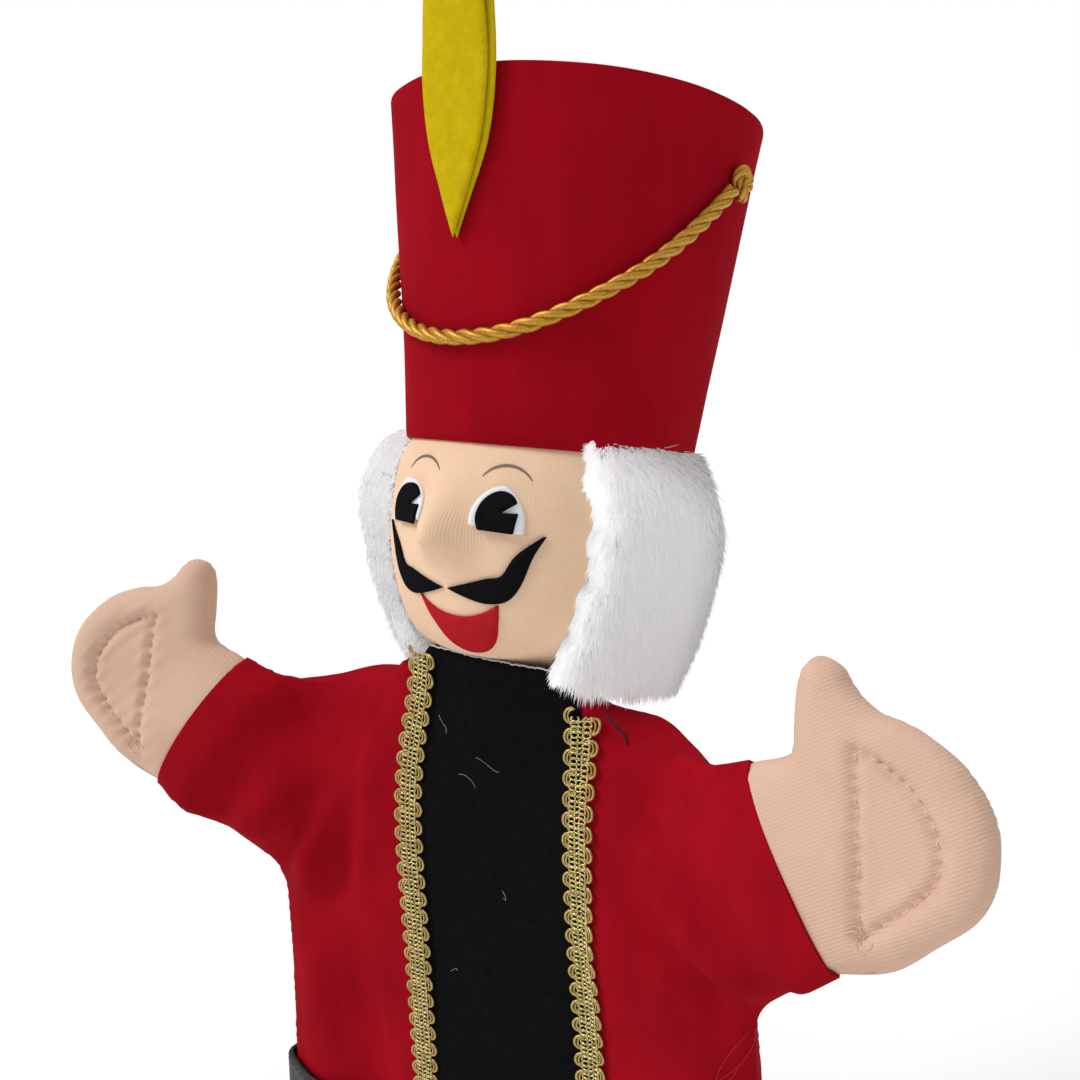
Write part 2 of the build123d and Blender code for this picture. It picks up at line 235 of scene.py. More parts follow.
def tube(line, radius, sides=6, ridges=0, ridge=0.0, twist=0.0):
    """Points and faces of a closed tube along a line; ridges run round it like laid threads."""
    p = np.asarray(line, float)
    _, a, b = frames_along(p)
    radius = np.broadcast_to(np.asarray(radius, float), (len(p),))
    length = np.concatenate([[0], np.cumsum(np.linalg.norm(np.diff(p, axis=0), axis=1))])
    angle = np.arange(sides) * 2 * math.pi / sides
    wave = 1 + ridge * np.cos(ridges * (angle[None, :] - twist * length[:, None])) if ridges else 1
    r = radius[:, None] * wave * np.ones((1, sides))
    around_it = a[:, None] * np.cos(angle)[None, :, None] + b[:, None] * np.sin(angle)[None, :, None]
    ring = p[:, None] + r[..., None] * around_it
    points = np.vstack([ring.reshape(-1, 3), p[:1], p[-1:]])
    faces = grid_faces(len(p), sides, True)
    first, last = len(p) * sides, len(p) * sides + 1
    end = (len(p) - 1) * sides
    faces += [(first, (j + 1) % sides, j) for j in range(sides)]
    faces += [(last, end + j, end + (j + 1) % sides) for j in range(sides)]
    return points, faces


def joined(parts):
    """Several (points, faces) as one."""
    points, faces, base = [], [], 0
    for p, f in parts:
        points.append(p)
        faces += [tuple(i + base for i in face) for face in f]
        base += len(p)
    return np.vstack(points), faces


def slab_of(top, bottom, faces):
    """A closed sheet between a top and a bottom set of the same points."""
    count = len(top)
    edges = {}
    for f in faces:
        for a, b in zip(f, f[1:] + f[:1]):
            if (b, a) in edges:
                del edges[(b, a)]
            else:
                edges[(a, b)] = True
    closed = list(faces) + [tuple(count + i for i in reversed(f)) for f in faces]
    closed += [(b, a, count + a, count + b) for a, b in edges]
    return np.vstack([top, bottom]), closed


def thicken(obj, millimetres, offset=-1.0):
    solid = obj.modifiers.new("cloth", "SOLIDIFY")
    solid.thickness, solid.offset = millimetres * MM, offset
    return obj


def normals_of(points, faces):
    """The outward direction at each point of a surface of triangles."""
    t = np.array(faces)
    flat = np.cross(points[t[:, 1]] - points[t[:, 0]], points[t[:, 2]] - points[t[:, 0]])
    total = np.zeros_like(points)
    for k in range(3):
        np.add.at(total, t[:, k], flat)
    return unit(total)


# ---------------------------------------------------------------- materials
class Finish:
    """A Principled material that is built up node by node."""

    def __init__(self, name, colour, roughness=0.85, metallic=0.0, sheen=0.0, specular=0.35):
        self.material = bpy.data.materials.new(name)
        self.material.use_nodes = True
        self.nodes, self.links = self.material.node_tree.nodes, self.material.node_tree.links
        self.shader = next(n for n in self.nodes if n.type == "BSDF_PRINCIPLED")
        self.shader.inputs["Base Color"].default_value = (*colour, 1)
        self.shader.inputs["Roughness"].default_value = roughness
        self.shader.inputs["Metallic"].default_value = metallic
        self.shader.inputs["Specular IOR Level"].default_value = specular
        self.shader.inputs["Sheen Weight"].default_value = sheen
        self.shader.inputs["Sheen Roughness"].default_value = 0.5
        self.colour, self.height = None, None

    def put(self, value, socket):
        if isinstance(value, (int, float, tuple)):
            socket.default_value = value
        else:
            self.links.new(value, socket)

    def math(self, operation, a, b=0.0, c=0.0):
        node = self.nodes.new("ShaderNodeMath")
        node.operation = operation
        for value, socket in zip((a, b, c), node.inputs):
            self.put(value, socket)
        return node.outputs[0]

    def place(self):
        """Position on the object, in millimetres."""
        node = self.nodes.new("ShaderNodeTexCoord")
        scale = self.nodes.new("ShaderNodeVectorMath")
        scale.operation = "SCALE"
        scale.inputs["Scale"].default_value = 1000
        self.links.new(node.outputs["Object"], scale.inputs[0])
        return scale.outputs[0]

    def cloth(self):
        """The cloth's own flat coordinates, in millimetres."""
        node = self.nodes.new("ShaderNodeUVMap")
        node.uv_map = "cloth"
        split = self.nodes.new("ShaderNodeSeparateXYZ")
        self.links.new(node.outputs[0], split.inputs[0])
        return split.outputs[0], split.outputs[1]

    def noise(self, size, detail=4.0, where=None, stretch=(1, 1, 1)):
        """Noise whose patches are about size millimetres across."""
        node = self.nodes.new("ShaderNodeTexNoise")
        node.inputs["Scale"].default_value = 1 / size
        node.inputs["Detail"].default_value = detail
        mapping = self.nodes.new("ShaderNodeMapping")
        mapping.inputs["Scale"].default_value = stretch
        self.links.new(where or self.place(), mapping.inputs[0])
        self.links.new(mapping.outputs[0], node.inputs["Vector"])
        return node.outputs["Fac"]

    def ramp(self, value, stops):
        node = self.nodes.new("ShaderNodeValToRGB")
        while len(node.color_ramp.elements) < len(stops):
            node.color_ramp.elements.new(0.5)
        for element, (at, colour) in zip(node.color_ramp.elements, stops):
            element.position, element.color = at, (*colour, 1)
        self.put(value, node.inputs[0])
        return node.outputs[0]

    def mix(self, share, a, b, how="MIX"):
        node = self.nodes.new("ShaderNodeMix")
        node.data_type, node.blend_type = "RGBA", how
        self.put(share, node.inputs[0])
        for value, socket in ((a, node.inputs[6]), (b, node.inputs[7])):
            self.put((*value, 1) if isinstance(value, tuple) else value, socket)
        return node.outputs[2]

    def wave(self, coordinate, pitch, wobble=0.0):
        """0 to 1 ridges along a coordinate, pitch millimetres apart."""
        turn = self.math("MULTIPLY", coordinate, 2 * math.pi / pitch)
        if not isinstance(wobble, float):
            turn = self.math("ADD", turn, wobble)
        return self.math("MULTIPLY_ADD", self.math("SINE", turn), 0.5, 0.5)

    def paint(self, colour):
        self.links.new(colour, self.shader.inputs["Base Color"])

    def rough(self, value, low, high):
        node = self.nodes.new("ShaderNodeMapRange")
        node.inputs["To Min"].default_value, node.inputs["To Max"].default_value = low, high
        self.put(value, node.inputs[0])
        self.links.new(node.outputs[0], self.shader.inputs["Roughness"])

    def bump(self, height, depth, strength=1.0):
        node = self.nodes.new("ShaderNodeBump")
        node.inputs["Distance"].default_value = depth * MM
        node.inputs["Strength"].default_value = strength
        self.put(height, node.inputs["Height"])
        self.links.new(node.outputs[0], self.shader.inputs["Normal"])
        return self.material


def woven(name, light, dark, pitch=0.52, flat=True):
    """Plain-weave cotton: crossing threads, slubs and slow changes of dye."""
    f = Finish(name, light, 0.9, specular=0.03)
    if flat:
        u, v = f.cloth()
    else:
        split = f.nodes.new("ShaderNodeSeparateXYZ")
        f.links.new(f.place(), split.inputs[0])
        u, v = f.math("ADD", split.outputs[0], split.outputs[1]), split.outputs[2]
    slub = f.math("MULTIPLY", f.noise(3.0, 2.0), 5.0)
    warp, weft = f.wave(u, pitch, slub), f.wave(v, pitch, slub)
    threads = f.math("MULTIPLY", warp, weft)
    patches = f.noise(28.0, 3.0)
    streaks = f.noise(5.0, 5.0, stretch=(1.0, 1.0, 0.12))
    tone = f.math("ADD", f.math("MULTIPLY", patches, 0.6), f.math("MULTIPLY", streaks, 0.4))
    tone = f.math("ADD", tone, f.math("MULTIPLY", f.math("SUBTRACT", threads, 0.3), 0.22))
    f.paint(f.ramp(tone, [(0.22, dark), (0.66, light)]))
    f.rough(f.noise(9.0), 0.85, 1.0)
    lint = f.noise(0.6, 2.0)
    return f.bump(f.math("ADD", f.math("MULTIPLY", threads, 0.6), f.math("MULTIPLY", lint, 0.4)), 0.16, 0.7)


def knitted(name, light, dark, pitch, blush=None, slant=0.0):
    """Fine ribbed knit: wales side by side, each a row of small stitches."""
    f = Finish(name, light, 0.85, sheen=0.06, specular=0.06)
    u, v = f.cloth()
    if slant:
        u = f.math("ADD", u, f.math("MULTIPLY", v, slant))
    wobble = f.math("MULTIPLY", f.noise(7.0, 2.0), 3.0)
    wales = f.wave(u, pitch, wobble)
    courses = f.wave(v, pitch * 1.35, f.math("MULTIPLY", wales, 1.5))
    knit = f.math("ADD", f.math("MULTIPLY", wales, 0.75), f.math("MULTIPLY", courses, 0.25))
    patches = f.noise(16.0, 3.0)
    tone = f.math("ADD", f.math("MULTIPLY", patches, 0.72), f.math("MULTIPLY", knit, 0.28))
    colour = f.ramp(tone, [(0.2, dark), (0.62, light)])
    if blush:
        colour = f.mix(f.math("MULTIPLY", f.noise(22.0, 2.0), 0.5), colour, blush)
    f.paint(colour)
    f.rough(f.noise(6.0), 0.72, 0.92)
    return f.bump(f.math("ADD", knit, f.math("MULTIPLY", f.noise(0.5, 2.0), 0.3)), 0.14, 0.6)


def felted(name, light, dark, fluff=0.35, size=1.4):
    """Pressed felt: matted fibres with mottling and a dull nap."""
    f = Finish(name, light, 0.95, specular=0.03)
    fibres = f.noise(size * 0.32, 6.0)
    mats = f.noise(size * 2.2, 5.0)
    tone = f.math("ADD", f.math("MULTIPLY", fibres, 0.5), f.math("MULTIPLY", mats, 0.5))
    f.paint(f.ramp(tone, [(0.3, dark), (0.66, light)]))
    f.rough(mats, 0.85, 1.0)
    return f.bump(tone, fluff, 0.8)


def metallic_thread(name, light, dark, size=0.5, roughness=0.32):
    """Lurex or silk thread: fine fibres that catch the light unevenly, painted as bright and dark glints in the colour.
    """
    f = Finish(name, light, roughness, metallic=0.75, specular=0.6)
    # small bright and dark flecks in the colour: painted glints, over slower random tone
    painted_glints = f.noise(size, 3.0)
    patches = f.noise(size * 6, 2.0)
    tone = f.math("ADD", f.math("MULTIPLY", painted_glints, 0.7), f.math("MULTIPLY", patches, 0.3))
    f.paint(f.ramp(tone, [(0.32, dark), (0.62, light)]))
    f.rough(patches, roughness - 0.08, roughness + 0.2)
    return f.bump(painted_glints, 0.12, 0.7)


def grained(name, light, dark, roughness=0.5, depth=0.12, size=0.9):
    """Coated cloth, board or thread with a small even grain."""
    f = Finish(name, light, roughness, specular=0.4)
    cells = f.nodes.new("ShaderNodeTexVoronoi")
    cells.inputs["Scale"].default_value = 1 / size
    f.links.new(f.place(), cells.inputs["Vector"])
    wear = f.noise(12.0, 5.0)
    tone = f.math("ADD", f.math("MULTIPLY", cells.outputs["Distance"], 0.4), f.math("MULTIPLY", wear, 0.6))
    f.paint(f.ramp(tone, [(0.3, dark), (0.7, light)]))
    f.rough(wear, roughness - 0.1, roughness + 0.15)
    return f.bump(cells.outputs["Distance"], depth, 0.8)


def furry(name, tip, root):
    """Fur: darker, cooler roots under white tips; the darker roots are painted shade in the depth of the pile."""
    f = Finish(name, tip, 0.9, sheen=0.1, specular=0.1)
    pile_shade = f.nodes.new("ShaderNodeAttribute")
    pile_shade.attribute_name = "pile_shade"
    patches = f.noise(14.0, 3.0)
    tone = f.math("ADD", f.math("MULTIPLY", pile_shade.outputs["Fac"], 0.8), f.math("MULTIPLY", patches, 0.2))
    f.paint(f.ramp(tone, [(0.08, root), (0.62, tip)]))
    return f.bump(f.noise(0.8, 3.0), 0.1, 0.4)


RED = woven("coat_cotton", (0.36, 0.0042, 0.0115), (0.24, 0.0026, 0.0088))
HAT_RED = woven("hat_cotton", (0.36, 0.0035, 0.0115), (0.26, 0.0025, 0.0090))
RED_INSIDE = woven("hem_cotton", (0.36, 0.004, 0.012), (0.24, 0.003, 0.009), flat=False)
BLACK_FELT = felted("panel_felt", (0.0068, 0.0068, 0.0078), (0.0030, 0.0030, 0.0036), 0.25)
FACE_BLACK = felted("moustache_felt", (0.0085, 0.0080, 0.0100), (0.0040, 0.0038, 0.0050), 0.25)
EYE_WHITE = felted("eye_felt", (0.90, 0.90, 0.92), (0.78, 0.79, 0.83), 0.2)
MOUTH_RED = felted("mouth_felt", (0.50, 0.018, 0.026), (0.38, 0.010, 0.016), 0.3)
YELLOW = felted("plume_felt", (0.62, 0.46, 0.006), (0.48, 0.34, 0.004), 0.3)
SKIN = knitted("face_knit", (0.88, 0.63, 0.43), (0.77, 0.52, 0.34), 0.72, blush=(0.88, 0.58, 0.40))
# the hand knit is set darker than the face knit, toward the hand that lies in shade: painted shade
HAND_SKIN = knitted("hand_knit", (0.68, 0.465, 0.345), (0.57, 0.38, 0.275), 0.90, blush=(0.69, 0.43, 0.325))
GOLD_CORD = metallic_thread("cord_gold", (0.66, 0.38, 0.055), (0.38, 0.18, 0.018), 0.45, 0.42)
GIMP = metallic_thread("gimp_gold", (0.66, 0.49, 0.17), (0.28, 0.19, 0.045), 0.35, 0.36)
LUREX = metallic_thread("gimp_lurex", (0.80, 0.69, 0.30), (0.20, 0.15, 0.04), 0.5, 0.22)
LEATHER = grained("belt_leathercloth", (0.009, 0.009, 0.011), (0.004, 0.004, 0.005), 0.5)
BOARD = grained("hat_card", (0.48, 0.42, 0.33), (0.36, 0.31, 0.24), 0.85, 0.06, 0.4)
PALE_THREAD = grained("hand_cotton_thread", (0.80, 0.62, 0.46), (0.64, 0.47, 0.33), 0.7, 0.05, 0.3)
RAW_THREAD = grained("raw_edge_thread", (0.50, 0.49, 0.49), (0.34, 0.33, 0.34), 0.8, 0.05, 0.3)
BROW = grained("brow_thread", (0.26, 0.20, 0.16), (0.16, 0.12, 0.10), 0.8, 0.05, 0.3)
DARK_THREAD = grained("tacking_thread", (0.030, 0.010, 0.022), (0.012, 0.005, 0.010), 0.7, 0.05, 0.3)
RED_THREAD = grained("red_thread", (0.38, 0.008, 0.016), (0.26, 0.004, 0.010), 0.7, 0.05, 0.3)
WADDING = felted("wadding", (0.80, 0.78, 0.74), (0.66, 0.63, 0.58), 0.5, 3.0)
FUR = furry("wig_fur", (0.985, 0.98, 0.985), (0.94, 0.92, 0.95))


# ------------------------------------------------------------- hat and cord
def around(angle, height, gap=0.0):
    """Points outside the hat: angle from its front, height, distance from its cloth."""
    angle, height = np.radians(angle), np.asarray(height, float)
    radius = HAT_R_BOTTOM + (HAT_R_TOP - HAT_R_BOTTOM) / HAT_HEIGHT * (height - HAT_BOTTOM) + gap
    return np.stack([radius * np.sin(angle), -radius * np.cos(angle), height + 0 * angle], -1)


def rope(line, diameter, lay, sides=18, start=0.0):
    """Three laid strands along a line."""
    _, a, b = frames_along(line)
    length = np.concatenate([[0], np.cumsum(np.linalg.norm(np.diff(line, axis=0), axis=1))])
    strand = diameter * 0.255
    parts = []
    for k in range(3):
        angle = start + k * 2 * math.pi / 3 + 2 * math.pi * length / (lay * 3)
        path = line + strand * 1.02 * (a * np.cos(angle)[:, None] + b * np.sin(angle)[:, None])
        parts.append(tube(path, strand * 0.98, sides, ridges=6, ridge=0.045, twist=-1.5))
    return joined(parts)


def hat_cord():
    gap = CORD_DIAMETER / 2 + CORD_GAP
    route = on_head([around(a, h, gap) for a, h in CORD_ROUTE])
    curve = bpy.data.curves.new("cord_line", "CURVE")
    curve.dimensions, curve.resolution_u = "3D", 16
    spline = curve.splines.new("NURBS")
    spline.points.add(len(route) - 1)
    for point, at in zip(spline.points, route):
        point.co = (*(at * MM), 1)
    spline.order_u, spline.use_endpoint_u = 3, True
    line_object = bpy.data.objects.new("cord_line", curve)
    bpy.context.scene.collection.objects.link(line_object)
    flat = bpy.data.meshes.new_from_object(line_object)
    line = np.array([v.co[:] for v in flat.vertices]) / MM
    bpy.data.objects.remove(line_object)
    line = spaced(line, 0.4)
    points, faces = rope(line, CORD_DIAMETER, 5.6)
    cord = piece("hat_cord_rope", points, faces, GOLD_CORD, "head", ["hat_cord"])
    for side, sign in (("left", 1), ("right", -1)):
        t = np.linspace(0, 2 * math.pi, 120, endpoint=False)
        # a tight overhand knot, taller than it is wide, with its end tucked behind
        knot = np.stack([np.sin(t) + 2 * np.sin(2 * t), -1.1 * np.sin(3 * t), np.cos(t) - 2 * np.cos(2 * t)], 1)
        knot = knot * (0.95, 0.8, 1.45) * 0.95
        knot = np.vstack([knot, knot[:1]])
        turn = turned(sign * KNOT_ANGLE, "Z")
        at = around(sign * KNOT_ANGLE, KNOT_HEIGHT - 0.6, KNOT_RADIUS - 2.2)
        points, faces = rope(on_head(knot @ turn.T + at), 3.3, 4.2, 12)
        piece(f"{side}_knot", points, faces, GOLD_CORD, "head", [f"{side}_cord_knot"])
    length = float(np.linalg.norm(np.diff(line, axis=0), axis=1).sum()) * MM
    return length


hat_cord()


def hat():
    angles = np.arange(-180, 180, 1.5)
    slope = (HAT_R_TOP - HAT_R_BOTTOM) / HAT_HEIGHT
    # heights up the outside, then a soft roll over the rim and down inside
    heights = np.linspace(0, HAT_HEIGHT - 0.8, 56)
    rows = []
    wave = np.radians(angles)

    def ripple(height):
        return (0.22 * np.sin(3 * wave + height / 31) + 0.16 * np.sin(7 * wave - height / 17)
                + 0.10 * np.sin(13 * wave + height / 9))

    profile = [(-2.7, 2.0, 0.0), (-2.6, 0.2, 0.0), (-1.9, -0.35, 0.0), (-0.9, -0.4, 0.0), (-0.25, -0.1, 0.3)]
    profile += [(0.0, h, 1.0) for h in heights[1:]]
    profile += [(-0.12, HAT_HEIGHT - 0.3, 1.0), (-0.5, HAT_HEIGHT, 0.8), (-1.0, HAT_HEIGHT + 0.05, 0.6),
                (-1.5, HAT_HEIGHT - 0.4, 0.5), (-1.75, HAT_HEIGHT - 1.3, 0.3), (-1.9, HAT_HEIGHT - 2.6, 0.2)]
    for inset, h, share in profile:
        radius = HAT_R_BOTTOM + slope * h + inset + share * ripple(h)
        dip = (1.3 + 0.9 * np.cos(wave - 0.6)) * smooth_step(3.0, -0.5, h)
        lift = -dip + 0.5 * np.sin(2 * wave + 0.6) * (h / HAT_HEIGHT) ** 3
        rows.append(np.stack([radius * np.sin(wave), -radius * np.cos(wave), HAT_BOTTOM + h + lift], 1))
    rows = np.array(rows)
    cloth = np.stack([np.broadcast_to(angles * 0.85, rows.shape[:2]), rows[..., 2]], -1)
    obj = piece("hat_cloth", on_head(rows.reshape(-1, 3)), grid_faces(len(rows), len(angles), True),
                HAT_RED, "head", ["hat_cover"], cloth.reshape(-1, 2))
    # the top: a disc of cloth pulled over the board
    rings = np.linspace(0.02, 1.0, 26)
    top = []
    for r in rings:
        radius = r * (HAT_R_TOP - 1.35)
        z = HAT_BOTTOM + HAT_HEIGHT - 0.2 - 0.3 * (1 - r**2) + 0.1 * np.sin(4 * wave + 2) * r**2
        top.append(np.stack([radius * np.sin(wave), -radius * np.cos(wave), z + 0 * wave], 1))
    top = np.array(top)
    faces = [tuple(reversed(f)) for f in grid_faces(len(top), len(angles), True)]
    piece("hat_top", on_head(top.reshape(-1, 3)), faces, HAT_RED, "head", ["hat_top_cover"], top.reshape(-1, 3)[:, :2])
    # seam up the back
    line = on_head([around(180, HAT_BOTTOM + h, 0.15) for h in np.linspace(0.5, HAT_HEIGHT - 1, 60)])
    points, faces = tube(line, 0.55, 6)
    piece("hat_back_seam", points, faces, RED_THREAD, "head")
    return obj


hat()


def plume():
    right = [(0.0, 52.0), (4.6, 64.0), (8.8, 77.0), (10.8, 91.0), (10.8, 103.0), (9.2, 119.0), (6.2, 136.0),
             (2.8, 150.0), (0.0, 157.0)]
    line = through(right, 6)
    loop = np.vstack([line, line[-2:0:-1] * (-1, 1)])
    flat, faces = patch(spaced(loop, 1.4, True), 1.6)
    lean = math.atan((HAT_R_TOP - HAT_R_BOTTOM) / HAT_HEIGHT)
    up = np.array([0, -math.sin(lean), math.cos(lean)])
    out = np.array([0, -math.cos(lean), -math.sin(lean)])
    rim = np.array([0, -HAT_R_BOTTOM, HAT_BOTTOM])
    for name, level, shift, curl in (("back", 0.35, 1.7, 0.5), ("front", 1.7, 0.0, 1.4)):
        x, s = flat[:, 0], flat[:, 1]
        edge = np.clip(gap_to(flat, loop, True) / 1.1, 0, 1)
        bow = curl * ((s - 52) / 105) ** 2 * 3 + 0.35 * np.sin(s / 9 + level) - 0.010 * x**2 * (s < 150)
        bow = np.maximum(bow, 0)
        base = rim + (shift * smooth_step(50, 82, s) + x)[:, None] * np.array([1, 0, 0]) + s[:, None] * up
        top = base + (level + bow + 1.15 - 0.35 * (1 - edge) ** 2)[:, None] * out
        bottom = base + (level + bow + 0.35 * (1 - edge) ** 2)[:, None] * out
        points, shell = slab_of(on_head(top), on_head(bottom), faces)
        piece(f"plume_{name}_felt", points, shell, YELLOW, "head", [f"plume_{name}"])


plume()


# --------------------------------------------------------------------- face
profile_curve = through(HEAD_PROFILE, 10)


def head_radius(z):
    return np.interp(z, profile_curve[:, 1], profile_curve[:, 0])


def nose(x, z):
    """How far the nose stands out of the face."""
    across = (x - NOSE_X) ** 2
    down = (z - NOSE_Z) ** 2
    spread = np.where(z > NOSE_Z, NOSE_SPREAD * 1.45, NOSE_SPREAD * 0.82)
    return NOSE_OUT * np.exp(-across / (2 * NOSE_SPREAD**2) - down / (2 * spread**2))


def face_point(x, z, out=0.0):
    """Points on the front of the face, out millimetres off the knit."""
    x, z = np.asarray(x, float), np.asarray(z, float)
    radius = head_radius(z) + out
    y = -np.sqrt(np.maximum(radius**2 - x**2, 1.0)) - nose(x, z)
    return np.stack([x, y, z + 0 * x], -1)


def face():
    angles = np.arange(-180, 180, 1.2)
    heights = through(HEAD_PROFILE, 9)
    rows = []
    for r, z in heights:
        a = np.radians(angles)
        x, y = r * np.sin(a), -r * np.cos(a)
        front = np.cos(a) > 0
        y = y - np.where(front, nose(x, np.full_like(x, z)) * smooth_step(0.0, 0.4, np.cos(a)), 0)
        dent = 0.25 * np.sin(2.3 * a + z / 13) * np.sin(z / 19)
        rows.append(np.stack([x * (1 + dent / 45), y * (1 + dent / 45), np.full_like(x, z)], 1))
    rows = np.array(rows)
    cloth = np.stack([np.broadcast_to(angles * 0.785, rows.shape[:2]), rows[..., 2]], -1)
    cover = piece("face_knit", on_head(rows.reshape(-1, 3)), grid_faces(len(rows), len(angles), True), SKIN,
                  "head", ["face_cover"], cloth.reshape(-1, 2))


face()


def on_face(name, loop, material, stands_for, level=0, step=0.7, lift=0.12, thick=FELT):
    """A cut felt shape that follows the face."""
    loop = spaced(loop, step, True)
    flat, faces = patch(loop, step * 1.15)
    x, z = flat.T
    edge = np.clip(gap_to(flat, loop, True) / 0.7, 0, 1)
    round_off = 0.3 * (1 - edge) ** 2
    low = lift + level * thick
    top = face_point(x, z, low + thick - round_off)
    bottom = face_point(x, z, low - (0.5 if level == 0 else 0.1))
    points, shell = slab_of(on_head(top), on_head(bottom), faces)
    return piece(name, points, shell, material, "head", stands_for)


def arc(start, middle, end, count=14):
    """Points on the circle through three points."""
    (ax, ay), (bx, by), (cx, cy) = start, middle, end
    d = 2 * (ax * (by - cy) + bx * (cy - ay) + cx * (ay - by))
    ux = ((ax**2 + ay**2) * (by - cy) + (bx**2 + by**2) * (cy - ay) + (cx**2 + cy**2) * (ay - by)) / d
    uy = ((ax**2 + ay**2) * (cx - bx) + (bx**2 + by**2) * (ax - cx) + (cx**2 + cy**2) * (bx - ax)) / d
    angle = [math.atan2(y - uy, x - ux) for x, y in (start, middle, end)]
    span = (angle[2] - angle[0]) % (2 * math.pi)
    if (angle[1] - angle[0]) % (2 * math.pi) > span:
        span -= 2 * math.pi
    radius = math.hypot(ax - ux, ay - uy)
    return [(ux + radius * math.cos(angle[0] + span * t), uy + radius * math.sin(angle[0] + span * t))
            for t in np.linspace(0, 1, count)]


# the eyes are drawn for a half width of one, on the puppet's left
EYE = [(1.0, 41.2), (0.93, 47.5), (0.2, 54.0), (-0.62, 51.5), (-1.0, 42.6)]
PUPIL = [(-1.0, 41.6), (-0.82, 50.0), (0.04, 52.5), (0.74, 51.4), (1.0, 49.4), (0.18, 46.7), (1.12, 46.8),
         (0.92, 41.2)]
EYES = {"left": (15.7, 6.6), "right": (-15.9, 9.0)}         # middle and half width
PUPILS = {"left": (16.3, 4.5), "right": (-15.4, 6.1)}
BROWS = {"left": [(10.0, 56.0), (16.4, 59.4), (22.8, 55.8)], "right": [(-4.4, 56.8), (-11.0, 60.3), (-18.2, 56.8)]}
MOUSTACHE = [(0.8, 24.6), (8.0, 26.8), (13.4, 28.6), (17.4, 29.8), (21.0, 35.5), (27.4, 41.4),
             (24.6, 35.6), (22.2, 28.8), (19.6, 24.4), (16.6, 22.2), (12.0, 21.6), (6.0, 22.9)]


def features():
    for side, sign in (("left", 1), ("right", -1)):
        middle, wide = EYES[side]
        a, b, c, d, e = [(middle + sign * wide * x, z) for x, z in EYE]
        on_face(f"{side}_eye_felt", arc(a, b, c) + arc(c, d, e)[1:], EYE_WHITE, [f"{side}_eye_white"])
        middle, wide = PUPILS[side]
        a, b, c, d, e, *wedge = [(middle + wide * x, z) for x, z in PUPIL]
        on_face(f"{side}_pupil_felt", arc(a, b, c) + arc(c, d, e)[1:] + wedge, FACE_BLACK,
                [f"{side}_pupil"], level=1, step=0.6)
        upper, lower = through(MOUSTACHE[:6], 5), through(MOUSTACHE[5:] + MOUSTACHE[:1], 5)
        shape = np.vstack([upper, lower[1:-1]]) * (sign, 1)
        on_face(f"{side}_moustache_felt", shape, FACE_BLACK, [f"{side}_moustache"])
    for side, (start, top, end) in BROWS.items():
        line = np.array(arc(start, top, end, 40))
        along = np.linspace(0, 1, len(line))
        thickness = 0.14 + 0.30 * np.sin(math.pi * along)
        points, faces = tube(on_head(face_point(line[:, 0], line[:, 1], 0.02)), thickness, 6)
        piece(f"{side}_brow_thread", points, faces, BROW, "head", [f"{side}_eyebrow"])
    smile = (arc((-10.4, 22.0), (5.0, 17.2), (15.7, 21.6), 24) + [(15.1, 17.6)]
             + arc((14.0, 13.6), (6.4, 6.9), (-4.6, 12.2), 20) + [(-7.8, 17.0)])
    on_face("mouth_felt_cut", smile, MOUTH_RED, ["mouth"])


features()


# --------------------------------------------------------------- coat shape
# one half of the coat laid over the arm: x, z and how far forward its seam lies
SIDE_SEAM = [(87.5, 0, -14), (87.5, 40, -14.5), (87, 82, -15.5), (85, 120, -17.5), (84, 148, -19.5), (84.2, 159, -20.5),
             (87.5, 166.4, -23.5), (93, 173.0, -27.8), (98.2, 178.8, -32), (104.6, 185.2, -37), (113.5, 193.3, -44.9)]
TOP_SEAM = [(84.4, 238, -33.3), (75, 234.2, -29.0), (65, 231.4, -25.0), (56, 231.0, -22.0), (47.5, 232.4, -21.0),
            (40, 235.4, -22.0), (35, 238.4, -23.0), (30, 243, -24)]
ARM_LINE = np.array([0.818, 0.563])         # the way the arm points, in x, z
SLEEVE_CUT = 182.0
side_line, top_line = through(SIDE_SEAM, 6), through(TOP_SEAM, 6)
seam_samples = np.vstack([spaced(side_line, 2.5), spaced(top_line, 2.5)])

# soft folds of the front: from, to, width and height, for each side of the puppet
FOLDS = {
    1: [((90, 171), (52, 205), 7, 2.6), ((82, 163), (50, 190), 6, -2.6), ((72, 150), (38, 176), 9, 1.2),
        ((66, 228), (44, 196), 8, -1.1), ((40, 224), (44, 150), 9, 1.0), ((35, 196), (36, 110), 5, -1.2),
        ((104, 200), (72, 214), 9, 1.2), ((62, 140), (60, 60), 14, 1.6), ((78, 130), (74, 40), 8, -1.4)],
    -1: [((82, 166), (58, 196), 6, -2.4), ((90, 176), (66, 200), 7, 1.9), ((72, 160), (50, 198), 6, 1.8),
         ((60, 158), (42, 200), 6, -2.4), ((46, 176), (34, 226), 6, 1.6), ((78, 230), (56, 214), 7, -1.6),
         ((96, 186), (84, 208), 8, -1.3), ((70, 140), (64, 40), 11, 1.9), ((50, 150), (46, 60), 9, -1.7)],
}


def seam_depth(p):
    """How far forward the cloth's middle lies, spread from the seams."""
    total, weight = np.zeros(len(p)), np.zeros(len(p))
    for x, z, y in seam_samples:
        w = 1 / (np.hypot(p[:, 0] - x, p[:, 1] - z) ** 3 + 1e-6)
        total, weight = total + w * y, weight + w
    return total / weight


def to_seam(p):
    return np.minimum(gap_to(p, side_line[:, :2]), gap_to(p, top_line[:, :2]))


